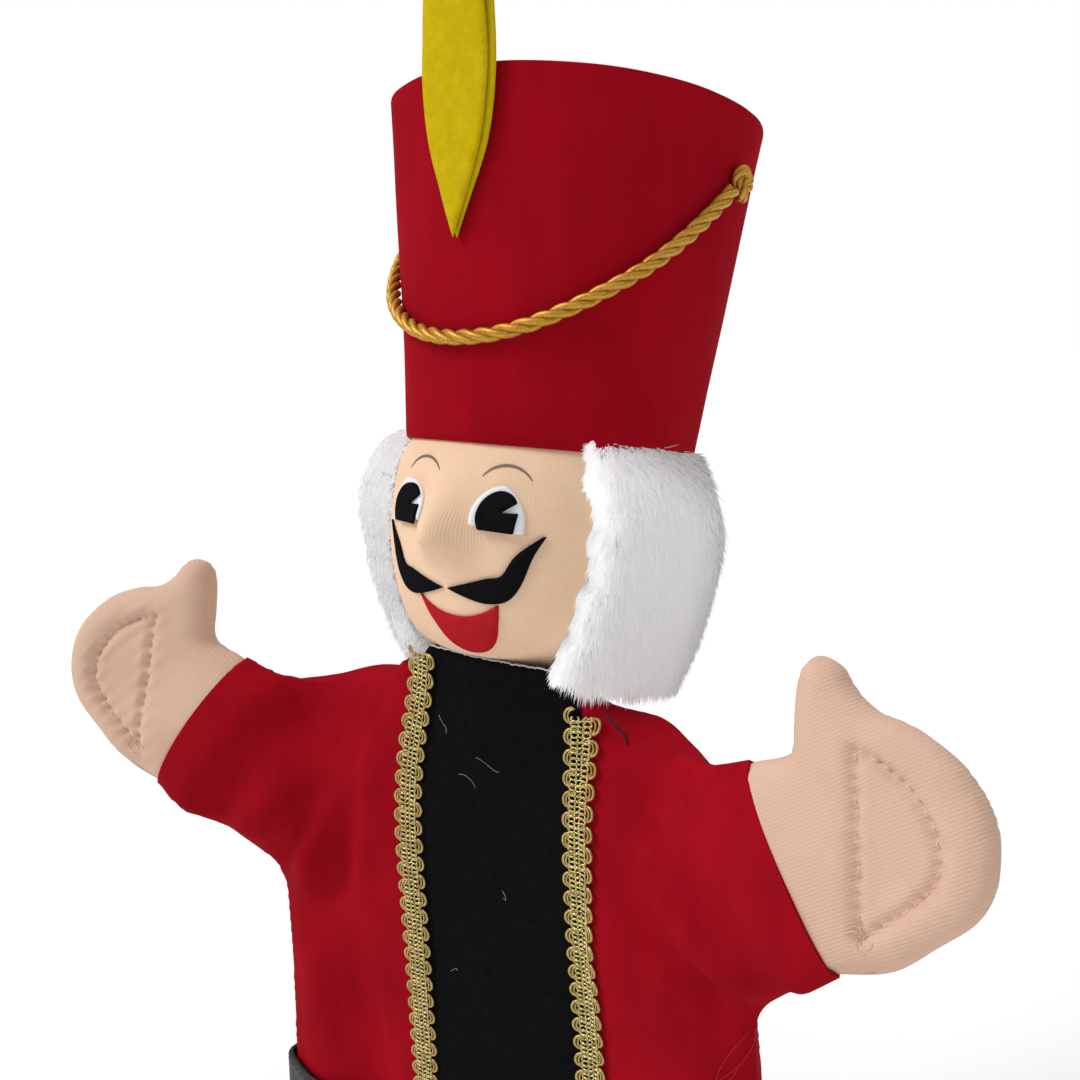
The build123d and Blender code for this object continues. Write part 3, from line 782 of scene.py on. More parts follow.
def folds(p, side):
    height = np.zeros(len(p))
    for start, end, width, rise in FOLDS[side]:
        a, d = np.array(start, float), np.array(end, float) - start
        t = ((p - a) @ d) / (d @ d)
        across = np.abs((p[:, 0] - a[0]) * d[1] - (p[:, 1] - a[1]) * d[0]) / np.linalg.norm(d)
        taper = smooth_step(-0.25, 0.3, t) * (1 - smooth_step(0.6, 1.3, t))
        height += 1.75 * rise * taper * np.exp(-(across / width) ** 2)
    return height


def cuff_share(p):
    """0 on the body, 1 at the cuff, where the sleeve lies flat round the mitten."""
    return smooth_step(178, 194, arm_at(p[:, 0], p[:, 1]))


def cuff_middle(p):
    return -39.1 - 0.2212 * (p[:, 0] - 99) + 0.1155 * (p[:, 1] - 215.7)


def cuff_depth(p):
    """Half the sleeve's thickness at the cuff: an oval between the two seams."""
    low, high = gap_to(p, side_line[:, :2]), gap_to(p, top_line[:, :2])
    part = low / np.maximum(low + high, 1e-6)
    return 9.0 * 2 * np.sqrt(np.maximum(part * (1 - part), 0))


def coat_front(p, side):
    """The front cloth's y at |x|, z."""
    p = np.asarray(p, float)
    x = p[:, 0]
    gap = to_seam(p)
    width = 42 - 15 * smooth_step(55, 92, x)
    swell = 1 - (1 - np.minimum(gap / width, 1)) ** 2
    depth = 6.2 + 4.6 * smooth_step(48, 74, x) * smooth_step(150, 190, p[:, 1]) - 1.4 * smooth_step(80, 96, x)
    loose = seam_depth(p) - depth * np.sqrt(np.maximum(swell, 0)) - folds(p, side) * np.minimum(gap / 9, 1)
    flat = cuff_share(p)
    return loose * (1 - flat) + (cuff_middle(p) - cuff_depth(p)) * flat


def coat_back(p, side):
    """The back cloth's points at |x|, z: deep over the hand, thin along the sleeve."""
    p = np.asarray(p, float)
    x, z = p.T
    gap = to_seam(p)
    width = 78 - 50 * smooth_step(50, 95, x) * smooth_step(140, 175, z)
    swell = 1 - (1 - np.minimum(gap / width, 1)) ** 2
    depth = 36 - 26.5 * smooth_step(42, 92, x) * smooth_step(135, 178, z)
    y = seam_depth(p) + depth * np.sqrt(np.maximum(swell, 0))
    y = y + 0.9 * folds(np.stack([x * 1.04, z - 6], 1), -side) * np.minimum(gap / 9, 1)
    y = y + 1.2 * np.sin(x / 9 + 1) * smooth_step(70, 10, z) * np.minimum(gap / 12, 1)
    near_top = np.exp(-(((x - 50) / 17) ** 2)) * smooth_step(180, 226, z)
    rise = 11.0 * near_top * (1 - np.exp(-gap / 3.5))
    belly = 3.5 * smooth_step(0, 22, gap) * (1 - smooth_step(22, 60, gap)) * (1 - smooth_step(140, 165, z))
    flat = cuff_share(p)
    y = y * (1 - flat) + (cuff_middle(p) + cuff_depth(p)) * flat
    return np.stack([x + belly * (x > 40), y, z + rise], 1)


def arm_at(x, z):
    return x * ARM_LINE[0] + z * ARM_LINE[1]


def cut_line():
    """Where the upper cloth ends and the lower sleeve begins, top to bottom."""
    def crossing(line):
        reach = arm_at(line[:, 0], line[:, 1])
        i = int(np.argmax((reach[:-1] - SLEEVE_CUT) * (reach[1:] - SLEEVE_CUT) <= 0))
        t = (SLEEVE_CUT - reach[i]) / (reach[i + 1] - reach[i])
        return i, line[i, :2] + (line[i + 1, :2] - line[i, :2]) * t
    return crossing(top_line), crossing(side_line)


(top_i, top_cut), (side_i, side_cut) = cut_line()
CLOTH_STEP = 2.4
CUFF_BOW = 0.6          # the cuff's edge curves out a little


def coat_outline(inner, neck):
    """The body cloth: up the side seam, over the cut, along the shoulder and down the inner edge."""
    side = np.vstack([side_line[: side_i + 1, :2], side_cut])
    top = np.vstack([top_cut, top_line[top_i + 1:, :2]])
    edges = [spaced(side, CLOTH_STEP), spaced(np.vstack([side_cut, top_cut]), CLOTH_STEP)[1:-1],
             spaced(top, CLOTH_STEP), spaced(np.vstack([top[-1], neck]), CLOTH_STEP)[1:],
             spaced(np.array([neck[-1], (inner, 0)]), CLOTH_STEP)[1:],
             spaced(np.array([(inner, 0), side[0]]), CLOTH_STEP)[1:-1]]
    return np.vstack(edges)


def sleeve_outline():
    """The sleeve beyond the cut, out to the cuff."""
    side = np.vstack([side_cut, side_line[side_i + 1:, :2]])
    top = np.vstack([top_line[: top_i + 1, :2], top_cut])
    a, b = side[-1], top[0]
    t = np.linspace(0, 1, int(np.linalg.norm(b - a) / CLOTH_STEP) + 1)[1:-1]
    cuff = a + (b - a) * t[:, None] + ARM_LINE * (CUFF_BOW * np.sin(math.pi * t))[:, None]
    return np.vstack([spaced(side, CLOTH_STEP), cuff, spaced(top, CLOTH_STEP),
                      spaced(np.vstack([top_cut, side_cut]), CLOTH_STEP)[1:-1]])


def cloth_panel(name, loop, surface, side, stands_for, faces_front):
    flat, faces = patch(loop, CLOTH_STEP)
    points = surface(flat, side)
    if points.ndim == 1:
        points = np.stack([flat[:, 0], points, flat[:, 1]], 1)
    points = points * (side, 1, 1)
    if (side > 0) != faces_front:
        faces = [tuple(reversed(f)) for f in faces]
    points, shell = slab_of(points, points - 0.9 * normals_of(points, faces), faces)
    cloth = np.vstack([flat, flat]) * (side, 1)
    obj = piece(name, points, shell, RED, None, stands_for, cloth, crease=55)
    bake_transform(obj)


def coat():
    for name, side in (("left", 1), ("right", -1)):
        front_loop = coat_outline(23.5, [(26.5, 243.0), (23.5, 241.0)])
        back_loop = coat_outline(0.0, [(22, 243.5), (10, 243.5), (0, 243.5)])
        sleeve_loop = sleeve_outline()
        cloth_panel(f"{name}_front_cloth", front_loop, coat_front, side,
                    [f"{name}_coat_front", f"{name}_upper_sleeve_front"], True)
        cloth_panel(f"{name}_back_cloth", back_loop, coat_back, side,
                    [f"{name}_coat_back", f"{name}_upper_sleeve_back"], False)
        cloth_panel(f"{name}_sleeve_front_cloth", sleeve_loop, coat_front, side,
                    [f"{name}_lower_sleeve_front"], True)
        cloth_panel(f"{name}_sleeve_back_cloth", sleeve_loop, coat_back, side,
                    [f"{name}_lower_sleeve_back"], False)


coat()


def front_at(x, z, out=0.0):
    """Points on the coat's front at x of either sign."""
    x, z = np.atleast_1d(np.asarray(x, float)), np.atleast_1d(np.asarray(z, float))
    p = np.stack([np.abs(x), z], 1)
    y = np.where(x >= 0, coat_front(p, 1), coat_front(p, -1))
    middle = 0.5 * (coat_front(p, 1) + coat_front(p, -1))
    share = smooth_step(6, 26, np.abs(x))
    y = middle * (1 - share) + y * share
    return np.stack([x, y - out, z], 1)


def trim_middle(side):
    """The middle of a trim, from the hem up: x and z."""
    if side > 0:
        rows = [(36.5, 0.6), (36.8, 60), (36.8, 110), (36.0, 150), (35.2, 181), (34.2, 211), (33.2, 231), (32.8, 240)]
    else:
        rows = [(-23.6, 0.6), (-23.4, 60), (-23.0, 105), (-22.9, 140), (-23.0, 166), (-23.8, 199), (-23.0, 218),
                (-20.6, 235), (-19.0, 250.5)]
    return spaced(through(rows, 12), 0.25)


def panel():
    top = [(32.6, 236), (31.0, 242.0), (25.0, 249.0), (14, 250.0), (0, 250.6), (-12, 251.0), (-16, 251.2), (-18.6, 248.5),
           (-19.8, 241), (-21.6, 230)]
    left, right = trim_middle(1)[::40], trim_middle(-1)[::40]
    loop = np.vstack([right[right[:, 1] < 224][::-1], left[left[:, 1] < 230], through(top, 3)])
    flat, faces = patch(spaced(loop, 2.4, True), 2.4)
    flat_y = front_at(flat[:, 0], flat[:, 1], 0.5)
    flat_y[:, 1] += 0.3 * np.sin(flat[:, 1] / 14) * np.sin(flat[:, 0] / 8 + 1)
    obj = piece("front_panel_felt", flat_y, faces, BLACK_FELT, None, ["front_panel"], flat)
    thicken(obj, 1.0)
    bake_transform(obj)
    # the raw top edge, where a pale thread has worked loose
    line = spaced(through(top[1:7], 6), 0.8)
    rng = np.random.default_rng(3)
    line = line + rng.normal(0, 0.12, line.shape)
    points, faces = tube(front_at(line[:, 0], line[:, 1] + 0.1, 0.75), 0.28, 5)
    edge = piece("panel_edge_thread", points, faces, RAW_THREAD, None)
    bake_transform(edge)
    parts = []
    for x, z, size in ((-12, 228, 7), (4, 219, 6), (-3, 213, 5), (9, 180, 2.2), (2, 96, 5), (-10, 150, 3)):
        t = np.linspace(0, 1, 14)
        bend = rng.normal(0, 1, 4)
        lint_x = x + size * (t - 0.5) * math.cos(bend[0]) + 1.2 * np.sin(3 * t + bend[1])
        lint_z = z + size * (t - 0.5) * math.sin(bend[0]) + 1.0 * np.sin(4 * t + bend[2])
        parts.append(tube(front_at(lint_x, lint_z, 0.62), 0.055, 4))
    points, faces = joined(parts)
    piece("panel_lint", points, faces, RAW_THREAD, "coat")


panel()


def on_trim(side, along, across, out):
    """Points on a trim: distance up it, distance from its middle, height off the cloth."""
    line = trim_middle(side)
    reach = np.concatenate([[0], np.cumsum(np.linalg.norm(np.diff(line, axis=0), axis=1))])
    tangent = unit(np.gradient(line, axis=0))
    x, z = (np.interp(along, reach, line[:, k]) for k in range(2))
    tx, tz = (np.interp(along, reach, tangent[:, k]) for k in range(2))
    p = front_at(x + across * tz, z - across * tx, 0.7)
    p[:, 1] -= out
    return p


def trims():
    """Scroll gimp: a wrapped cord looping from edge to edge under a ladder of lurex."""
    pitch = 5.8
    for name, side in (("left", 1), ("right", -1)):
        line = trim_middle(side)
        length = float(np.linalg.norm(np.diff(line, axis=0), axis=1).sum()) - 2.2
        parts = []
        for reach, swing, radius, lift in ((4.75, 1.25, 0.44, 0.55), (3.75, 1.0, 0.30, 0.75)):
            t = np.linspace(0, length / pitch, int(length / pitch * 44))
            turn = 2 * math.pi * t
            across = reach * np.sin(turn)
            along = 1.0 + pitch * t - swing * np.sin(2 * turn)
            out = lift * np.abs(np.sin(turn)) ** 0.7 + 0.1
            parts.append(tube(on_trim(side, along, across, out), radius, 6))
        points, faces = joined(parts)
        scroll = piece(f"{name}_gimp_scroll", points, faces, GIMP, None, [f"{name}_trim"])
        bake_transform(scroll)
        parts = []
        t = np.arange(0, length - 1.0, 0.2)
        for lane in (-2.55, -0.9, 0.9, 2.55):
            across = lane + 0.30 * np.sin(2 * math.pi * t / 1.45 + 2 * lane)
            parts.append(tube(on_trim(side, 0.9 + t, across, 0.95 + 0.16 * np.cos(4 * math.pi * t / 1.45)), 0.27, 5))
        for k, along in enumerate(np.arange(1.0, length - 0.6, 1.45)):
            # the bars bulge between the rails, some wide and bright, some thin
            across = np.linspace(-2.9, 2.9, 15)
            bulge = np.abs(np.cos(across * math.pi / 1.75))
            full = 0.24 + 0.26 * (0.5 + 0.5 * math.sin(k * 2.4)) * bulge
            parts.append(tube(on_trim(side, along + 0.12 * np.sin(across * 2 + k), across, 0.75 + 0.3 * bulge), full, 5))
        points, faces = joined(parts)
        braid = piece(f"{name}_gimp_braid", points, faces, LUREX, None)
        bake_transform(braid)


trims()


def coat_ring(z, out, count=90):
    """A closed line round the coat at one height, out millimetres off the cloth."""
    edge = float(np.interp(z, side_line[:, 1][:18], side_line[:, 0][:18]))
    t = np.linspace(-1, 1, count)
    x = edge * np.sin(t * math.pi / 2) * 0.998
    front = front_at(x, np.full_like(x, z))
    p = np.stack([np.abs(x[::-1]), np.full_like(x, z)], 1)
    back = np.where((x[::-1] >= 0)[:, None], coat_back(p, 1), coat_back(p, -1))
    back[:, 0] *= np.sign(x[::-1] + 1e-9)
    ring = np.vstack([front, back[1:-1]])
    flat = ring[:, :2]
    along = unit(np.roll(flat, -2, 0) - np.roll(flat, 2, 0))
    ring[:, :2] += out * np.stack([along[:, 1], -along[:, 0]], 1)
    return ring


def bands():
    rows = []
    low, high = 73.0, 91.0
    for z, out in [(low, 1.0), (low + 0.1, 2.2), (low + 0.9, 2.7)] + [(z, 2.7) for z in np.linspace(low + 2, high - 2, 9)] + [
            (high - 0.9, 2.7), (high - 0.1, 2.2), (high, 1.0)]:
        rows.append(coat_ring(z, out))
    rows = np.array(rows)
    for r in rows:                       # the trims lie under the belt and lift it
        r[:, 1] -= 1.3 * np.exp(-(((np.abs(r[:, 0] - 6.8) - 30.0) / 8.0) ** 2)) * (r[:, 1] < -10)
    points = rows.reshape(-1, 3)
    faces = grid_faces(len(rows), rows.shape[1], True)
    belt = piece("belt_band", points, faces, LEATHER, "coat", ["belt"])
    thicken(belt, 0.6)
    rows = np.array([coat_ring(z, -1.3 - 0.2 * math.sin(z)) for z in np.linspace(0.3, 22, 14)])
    faces = grid_faces(len(rows), rows.shape[1], True)
    facing = piece("hem_band", rows.reshape(-1, 3), faces, RED_INSIDE, "coat", ["hem_facing"])
    thicken(facing, 0.5)
    for name, z in (("low", low + 2.2), ("high", high - 2.2)):
        ring = coat_ring(z, 2.75)
        ring[:, 1] -= 1.3 * np.exp(-(((np.abs(ring[:, 0] - 6.8) - 30.0) / 8.0) ** 2)) * (ring[:, 1] < -10)
        ring = spaced(ring, 0.5, True)
        parts = [tube(ring[i:i + 5], 0.17, 4) for i in range(0, len(ring) - 6, 7)]
        points, faces = joined(parts)
        piece(f"belt_stitches_{name}", points, faces, DARK_THREAD, "coat")


bands()


# ------------------------------------------------------------------- hands
CUFF = np.array([99.0, -39.1, 215.7])
HAND_X, HAND_Y = unit((0.818, -0.116, 0.563)), unit((-0.533, 0.2125, 0.819))
HAND_N = unit(np.cross(HAND_X, HAND_Y))          # out of the palm's front
MITTEN = [(-7, 24.0), (0.4, 26.2), (8.5, 24.7), (13.4, 25.0), (17.0, 30.5), (21.2, 37.0), (25.6, 41.8), (30.4, 42.4),
          (34.4, 38.6), (35.4, 32.0), (38.2, 25.6), (44.5, 19.6), (50.8, 10.5), (53.8, -1.0),
          (52.3, -10.8), (47.3, -19.2), (39.6, -24.6), (28.0, -27.2), (14.5, -29.4), (0.6, -26.6), (-7, -24.5)]
STITCHES = [(31.8, 19.1), (27.5, 10.2), (22.4, 0.0), (17.4, -10.5), (12.7, -20.2)]
STITCH_CURVE = [(12.7, -20.2), (22.0, -18.6), (31.0, -16.4), (38.6, -12.4), (41.8, -3.0), (40.6, 6.6), (36.6, 13.6), (31.8, 19.1)]


def palm(u, v, w, side):
    """Points of the hand's own frame: towards the tips, towards the thumb, out of the palm."""
    p = CUFF + np.outer(u, HAND_X) + np.outer(v, HAND_Y) + np.outer(w, HAND_N)
    return p * (side, 1, 1)


def hand_shape():
    loop = spaced(through(MITTEN, 7), 1.1)
    stitch = np.vstack([spaced(through(STITCHES, 6), 1.0)[:-1], spaced(through(STITCH_CURVE, 6), 1.0)[:-1]])
    flat, faces = patch(loop, 1.1)
    return loop, stitch, flat, faces


def hand_height(flat, loop, stitch):
    """Half the mitten's thickness: a puffy rim and thumb, a flatter quilted D, a sewn channel."""
    u, v = flat.T
    rim = gap_to(flat, loop[3:-3])
    width = 8.5
    swell = np.sqrt(np.maximum(1 - (1 - np.minimum(rim / width, 1)) ** 2, 0))
    full = 6.2 * swell
    cuff = (3.5 + 4.7 * smooth_step(-7, 2, u)) * np.sqrt(np.maximum(1 - (v / 27.2) ** 2, 0.0))
    share = 1 - smooth_step(2, 22, u + 0.1 * v)
    height = full * (1 - share) + cuff * share * np.minimum(rim / 3 + 0.1, 1)
    quilted = inside(flat, stitch)
    channel = gap_to(flat, stitch, True)
    height = height - np.where(quilted, 0.8 * smooth_step(0, 6, channel) + 0.3, 0)
    height = height - 1.5 * np.exp(-((channel / 1.9) ** 2)) * np.minimum(rim / 4, 1)
    dimples = spaced(stitch, 3.3, True)
    nearest = np.min(np.linalg.norm(flat[:, None] - dimples[None], axis=2), axis=1)
    height = height - 1.1 * np.exp(-((nearest / 0.95) ** 2))
    pucker = 0.3 * np.sin(u * 1.35 + v * 0.4) * np.exp(-((channel / 5) ** 2))
    ripple = 0.3 * np.sin(u / 5 + 2) * np.sin(v / 7)
    return np.maximum(height + pucker * np.minimum(rim / 4, 1) + ripple * np.minimum(rim / 6, 1), 0.35)


def hands():
    loop, stitch, flat, faces = hand_shape()
    height = hand_height(flat, loop, stitch)
    on_rim = gap_to(flat, loop[3:-3]) < 0.05
    height = np.where(on_rim, 0.0, height)
    for name, side in (("left", 1), ("right", -1)):
        parts = {}
        for face_name, sign in (("front", 1), ("back", -1)):
            points = palm(flat[:, 0], flat[:, 1], sign * height, side)
            turned_faces = faces if (side * sign) > 0 else [tuple(reversed(f)) for f in faces]
            parts[face_name] = (points, turned_faces)
        points, all_faces = joined(list(parts.values()))
        cloth = np.vstack([flat[:, ::-1], flat[:, ::-1]])
        hand = piece(f"{name}_mitten", points, all_faces, HAND_SKIN, None,
                     [f"{name}_hand_front", f"{name}_hand_back", f"{name}_hand_wadding"], cloth)
        weld = hand.modifiers.new("seam", "WELD")
        weld.merge_threshold = 0.00002
        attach(hand, f"{name}_arm")
        sewn = []
        line = spaced(stitch, 0.55, True)
        surface = hand_height(line, loop, stitch)
        for sign in (1, -1):
            for start in range(1, len(line) - 6, 6):
                part = line[start:start + 5]
                lift = surface[start:start + 5] + np.array([-0.35, 0.0, 0.05, 0.0, -0.35])
                sewn.append(tube(palm(part[:, 0], part[:, 1], sign * lift, side), 0.17, 5))
        foot = np.array(STITCHES[-1])
        rng = np.random.default_rng(11 if side > 0 else 12)
        for turn in (2.6, 3.6, -0.7, 0.4):
            t = np.linspace(0, 1, 16)
            angle = turn + 2.0 * t + rng.normal(0, 0.2)
            u = foot[0] + 3.4 * t * np.cos(angle)
            v = foot[1] + 3.4 * t * np.sin(angle)
            lift = hand_height(np.stack([u, v], 1), loop, stitch) + 0.2 + 0.7 * np.sin(math.pi * t)
            sewn.append(tube(palm(u, v, lift, side), 0.13, 5))
        points, faces_sewn = joined(sewn)
        piece(f"{name}_mitten_stitches", points, faces_sewn, PALE_THREAD, f"{name}_arm",
              [f"{name}_hand_stitching"])


hands()


# --------------------------------------------------------------------- wig
WIG_OUTER = {
    1: through([(46.5, 2.5), (47.6, 8.0), (49.4, 16.0), (51.8, 26.0), (54.2, 40.0), (54.6, 50.0), (52.0, 58.0),
                (47.0, 64.0), (43.2, 68.0)], 8),
    -1: through([(37.0, 3.0), (40.0, 8.0), (44.0, 16.0), (49.5, 26.0), (54.0, 40.0), (55.2, 50.0), (53.5, 58.0),
                 (49.5, 64.0), (44.5, 68.0)], 8),
}
PILE = 9.0
FRONT_EDGE = {                      # height, degrees from the front
    1: [(-4, 45.0), (8, 47.0), (20, 51.0), (32, 54.0), (45, 54.0), (58, 52.0), (70, 50.5)],
    -1: [(-4, 40.0), (8, 41.5), (20, 45.0), (32, 51.5), (45, 54.5), (58, 54.0), (70, 52.0)],
}


def wig_point(angle, z, depth, side):
    """Points of the wig: degrees from the front, height, depth under the fur's surface."""
    a = np.radians(angle)
    outer = WIG_OUTER[side]
    radius = np.interp(z, outer[:, 1], outer[:, 0])
    if side < 0:                    # the tuck under this cheek fades out behind
        other = np.interp(z, WIG_OUTER[1][:, 1], WIG_OUTER[1][:, 0])
        radius = radius + (other - radius) * smooth_step(95, 150, angle)
    radius = np.maximum(radius - depth, head_radius(z) - 1.0)
    return np.stack([radius * np.sin(a), -radius * np.cos(a), z + 0 * a], -1)


def front_edge(z, side):
    rows = np.array(FRONT_EDGE[side])
    return np.interp(z, rows[:, 0], rows[:, 1])


def hairs(rng, count, first, last, side):
    """Tapered tufts combed down over the wig, and more that curl over its front edge."""
    z = 4.5 + 63.5 * rng.random(count) ** 0.96
    start = front_edge(z, side) + 0.9 * np.sin(z / 2.6 + side) + 0.6 * np.sin(z / 1.2)
    angle = start + (first + (last - first) * rng.random(count)) * (180 - start)
    depth = np.full(count, PILE * 0.62)
    if first == 0:
        edge = rng.random(count) < 0.22
        angle = np.where(edge, start + 0.4, angle)
        depth = np.where(edge, PILE * 1.25 * rng.random(count), depth)
    root = wig_point(angle, z, depth, side)
    a = np.radians(angle)
    out = np.stack([np.sin(a), -np.cos(a), 0 * a], 1)
    across = np.stack([np.cos(a), np.sin(a), 0 * a], 1)
    down = np.array([0, 0, -1.0])
    length = PILE * rng.uniform(0.7, 1.15, count)
    near_top = smooth_step(54, 68, z)
    near_edge = 1 - smooth_step(0, 9, angle - start)
    near_foot = 1 - smooth_step(4, 18, z)
    shallow = 1 - np.minimum(depth / (PILE * 0.62), 1)
    length = length * (1 - 0.45 * near_edge) * (1 - 0.25 * shallow)
    fall = 0.85 - 0.65 * near_top + 0.10 * near_foot
    lean = unit(out * (0.52 + 0.10 * near_top - 0.22 * near_foot - 0.2 * shallow)[:, None] + down * fall[:, None]
                - across * (0.55 * near_edge)[:, None] + rng.normal(0, 0.13, (count, 3)))
    tip = root + lean * length[:, None]
    cell = 3.2
    key = np.floor(np.stack([a * 52 / cell + 0.35 * np.sin(z / 3), z / cell + 0.35 * np.sin(a * 15)], 1)).astype(int)
    _, clump = np.unique(key, axis=0, return_inverse=True)
    clump = clump.ravel()
    number = np.bincount(clump)
    centre = np.stack([np.bincount(clump, tip[:, k]) / number for k in range(3)], 1)
    centre = centre + rng.normal(0, 0.7, centre.shape)
    tip = tip + (centre[clump] - tip) * rng.uniform(0.1, 0.45, count)[:, None]
    sag = np.array([0, 0, -1.2])
    middle = (root + tip) / 2 + out * (0.9 + 0.5 * rng.random(count))[:, None] * (1 - 0.6 * near_edge)[:, None]
    tip = tip + sag * rng.random(count)[:, None]
    width = rng.uniform(0.17, 0.28, count) * (1.0 if count > 9000 else 1.7)
    along = unit(tip - root)
    b = unit(np.cross(along, out))
    c = np.cross(along, b)
    rings = []
    for centre_line, share in ((root, 1.0), (middle, 0.8)):
        for k in range(3):
            turn = 2 * math.pi * k / 3
            rings.append(centre_line + (width * share)[:, None] * (b * math.cos(turn) + c * math.sin(turn)))
    points = np.stack(rings + [tip], 1)
    points = points * (side, 1, 1)
    base = np.arange(count)[:, None, None] * 7
    faces = []
    for k in range(3):
        n = (k + 1) % 3
        faces += [(k, n, 3 + n), (k, 3 + n, 3 + k), (3 + k, 3 + n, 6)]
    faces.append((2, 1, 0))
    pattern = np.array(faces if side > 0 else [f[::-1] for f in faces])
    # each tuft runs from a dark root to a white tip, painted shade in the depth of the pile; its tone also varies at
    # random from tuft to tuft and clump to clump
    tone = np.clip(rng.normal(0.0, 0.07, count) + 0.07 * np.sin(key[:, 0] * 12.9 + key[:, 1] * 78.2), -0.3, 0.3)
    shade = np.stack([0.35 + tone] * 3 + [0.70 + tone] * 3 + [0.95 + tone * 0.4], 1)
    # the pile is lit as one soft surface, each tuft a little off it
    outer = WIG_OUTER[side]
    slope = np.interp(z, outer[:-1, 1], np.diff(outer[:, 0]) / np.maximum(np.diff(outer[:, 1]), 0.1))
    facing = unit(out - slope[:, None] * np.array([0, 0, 1.0]) - across * (0.9 * near_edge)[:, None]
                  + rng.normal(0, 0.14, (count, 3))) * (side, 1, 1)
    facing = np.repeat(facing[:, None], 7, 1)
    return points.reshape(-1, 3), (pattern[None] + base).reshape(-1, 3), shade.ravel(), facing.reshape(-1, 3)


def wig():
    tufts = 19000
    for name, side in (("left", 1), ("right", -1)):
        heights = np.linspace(3.0, 67.5, 40)
        rows = []
        for z in heights:
            angle = np.linspace(front_edge(z, side) + 1.0, 180, 80)
            lump = 0.5 * np.sin(angle / 3.1 + z / 4) * np.sin(z / 3.3 + angle / 7)
            rows.append(wig_point(angle, np.full_like(angle, z), PILE * 0.62 + lump, side))
        outer = np.array(rows)
        r = np.linalg.norm(outer[..., :2], axis=-1, keepdims=True)
        skin = np.maximum(np.minimum(head_radius(outer[..., 2:3]) + 0.3, r - 0.3), 28)
        inner = outer * np.concatenate([skin / r, skin / r, np.ones_like(r)], -1)
        flat_faces = grid_faces(len(rows), 80)
        points, faces = slab_of(outer.reshape(-1, 3) * (side, 1, 1), inner.reshape(-1, 3) * (side, 1, 1), flat_faces)
        if side < 0:
            faces = [tuple(reversed(f)) for f in faces]
        piece(f"{name}_wig_backing", on_head(points), faces, FUR, "head", [f"{name}_wig"],
              shade=np.full(len(points), 0.6))
        parts = (("front", 0.0, 0.25), ("side", 0.2, 0.48), ("back", 0.45, 0.75), ("nape", 0.72, 1.0))
        for number, (part, first, last) in enumerate(parts):
            rng = np.random.default_rng(20 + number + (5 if side < 0 else 0))
            points, faces, shade, facing = hairs(rng, tufts, first, last, side)
            fur = piece(f"{name}_wig_fur_{part}", on_head(points), faces, FUR, "head", shade=shade)
            fur.data.normals_split_custom_set_from_vertices(facing @ HEAD_AXES.T)
            # the tufts shade nothing: shadowed tufts come out grey where white fibres let light through
            fur.visible_shadow = fur.visible_diffuse = False


wig()


# ---------------------------------------------------------- loose threads
def threads():
    parts = []
    for x, z, dx, dz, bow in ((84.5, 158, -11, -19, 3), (83, 157, -9, -26, -3), (80, 146, -7, -8, 2), (77, 141, 3, -14, 2)):
        t = np.linspace(0, 1, 20)
        lx, lz = x + dx * t + bow * np.sin(math.pi * t), z + dz * t
        parts.append(tube(front_at(lx, lz, 0.6 + 0.6 * t), 0.11, 5))
    points, faces = joined(parts)
    piece("loose_red_threads", points, faces, RED_THREAD, "coat")
    t = np.linspace(0, 1, 12)
    points, faces = tube(front_at(40.0 + 5.0 * t, 239 - 7.5 * t, 0.5), 0.35, 6)
    piece("tacking_stitch", points, faces, DARK_THREAD, "coat")


threads()


# ----------------------------------------------- CAD pieces that stay as made
KEPT = {
    "finger_tube": BOARD, "head_stuffing": WADDING, "neck_binding": PALE_THREAD, "neck_sleeve": SKIN, "nose": WADDING,
    "hat_board": BOARD, "hat_hem": RED_INSIDE, "hat_top_board": BOARD,
}
for node, material in KEPT.items():
    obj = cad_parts[node]
    obj.data.materials.clear()
    obj.data.materials.append(material)

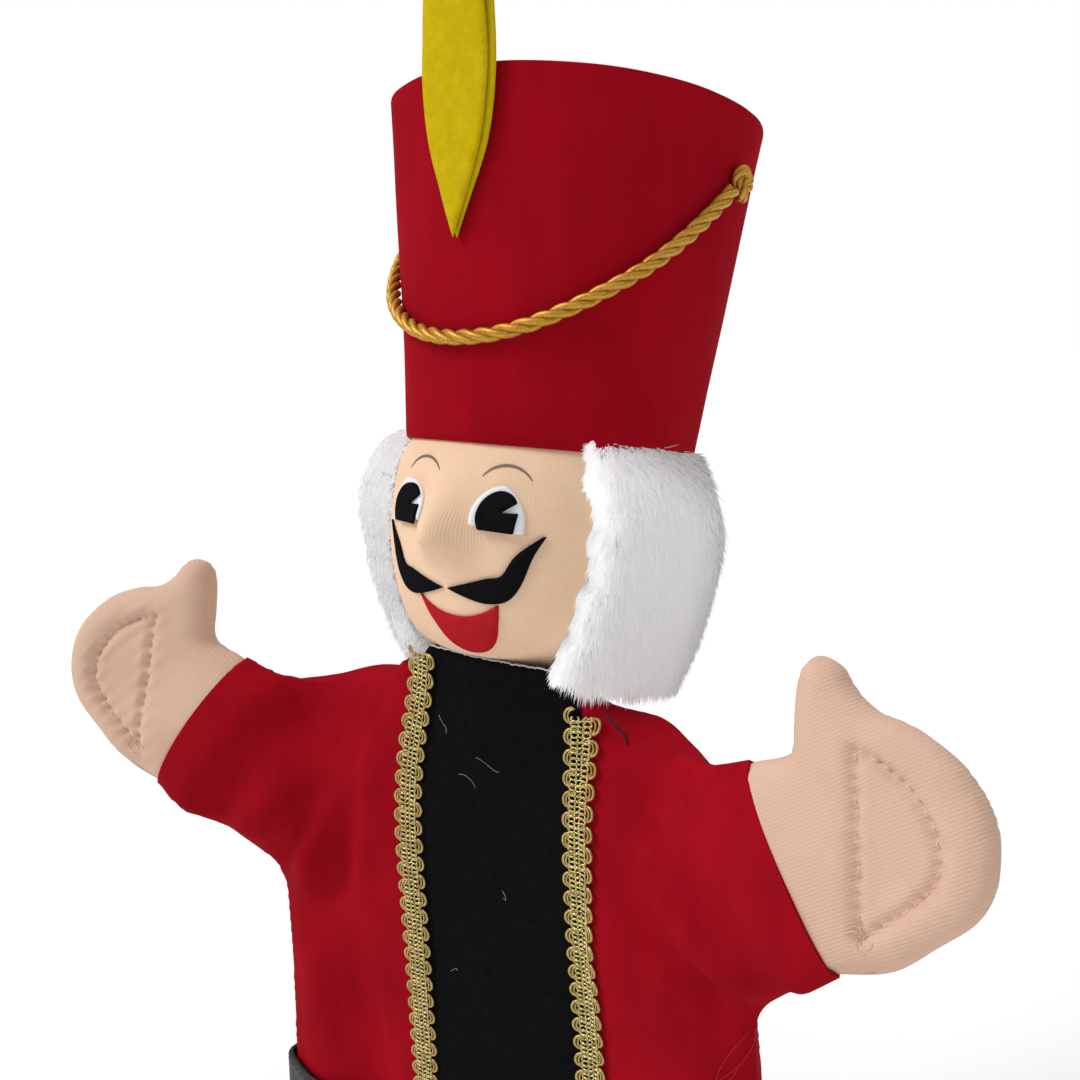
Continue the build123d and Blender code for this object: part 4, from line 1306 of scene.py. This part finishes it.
# ----------------------------------------------------------- floor and light
floor_mesh = bpy.data.meshes.new("floor")
FLOOR = 6.0
floor_mesh.from_pydata([(-FLOOR, -FLOOR, -0.0005), (FLOOR, -FLOOR, -0.0005), (FLOOR, FLOOR, -0.0005), (-FLOOR, FLOOR, -0.0005)], [],
                       [(0, 1, 2, 3)])
floor = bpy.data.objects.new("floor", floor_mesh)
bpy.context.scene.collection.objects.link(floor)
floor_finish = Finish("floor_paper", (0.97, 0.97, 0.97), 0.95, specular=0.0)
floor_finish.paint(floor_finish.ramp(floor_finish.noise(40.0), [(0.3, (0.965, 0.965, 0.97)), (0.7, (0.975, 0.975, 0.975))]))
floor_mesh.materials.append(floor_finish.material)

world = bpy.data.worlds.new("studio")
world.use_nodes = True
tree = world.node_tree
background = next(n for n in tree.nodes if n.type == "BACKGROUND")
background.inputs["Color"].default_value = (1, 1, 1, 1)
background.inputs["Strength"].default_value = 0.46
bright = tree.nodes.new("ShaderNodeBackground")
bright.inputs["Color"].default_value, bright.inputs["Strength"].default_value = (1, 1, 1, 1), 1.0
seen, choose = tree.nodes.new("ShaderNodeLightPath"), tree.nodes.new("ShaderNodeMixShader")
world_out = next(n for n in tree.nodes if n.type == "OUTPUT_WORLD")
tree.links.new(seen.outputs["Is Camera Ray"], choose.inputs[0])
tree.links.new(background.outputs[0], choose.inputs[1])
tree.links.new(bright.outputs[0], choose.inputs[2])
tree.links.new(choose.outputs[0], world_out.inputs[0])
bpy.context.scene.world = world
bpy.context.scene.view_settings.view_transform = "Standard"


def soft_light(name, at, spread, strength):
    """A wide lamp far off, so that the floor is lit evenly."""
    lamp = bpy.data.lights.new(name, "SUN")
    lamp.angle, lamp.energy = math.radians(spread), strength
    obj = bpy.data.objects.new(name, lamp)
    obj.location = at
    obj.rotation_euler = (-Vector(at)).to_track_quat("-Z", "Y").to_euler()
    bpy.context.scene.collection.objects.link(obj)


soft_light("key", (-0.85, -0.80, 1.15), 30, 1.9)
soft_light("top", (0.2, 0.5, 1.4), 60, 0.6)
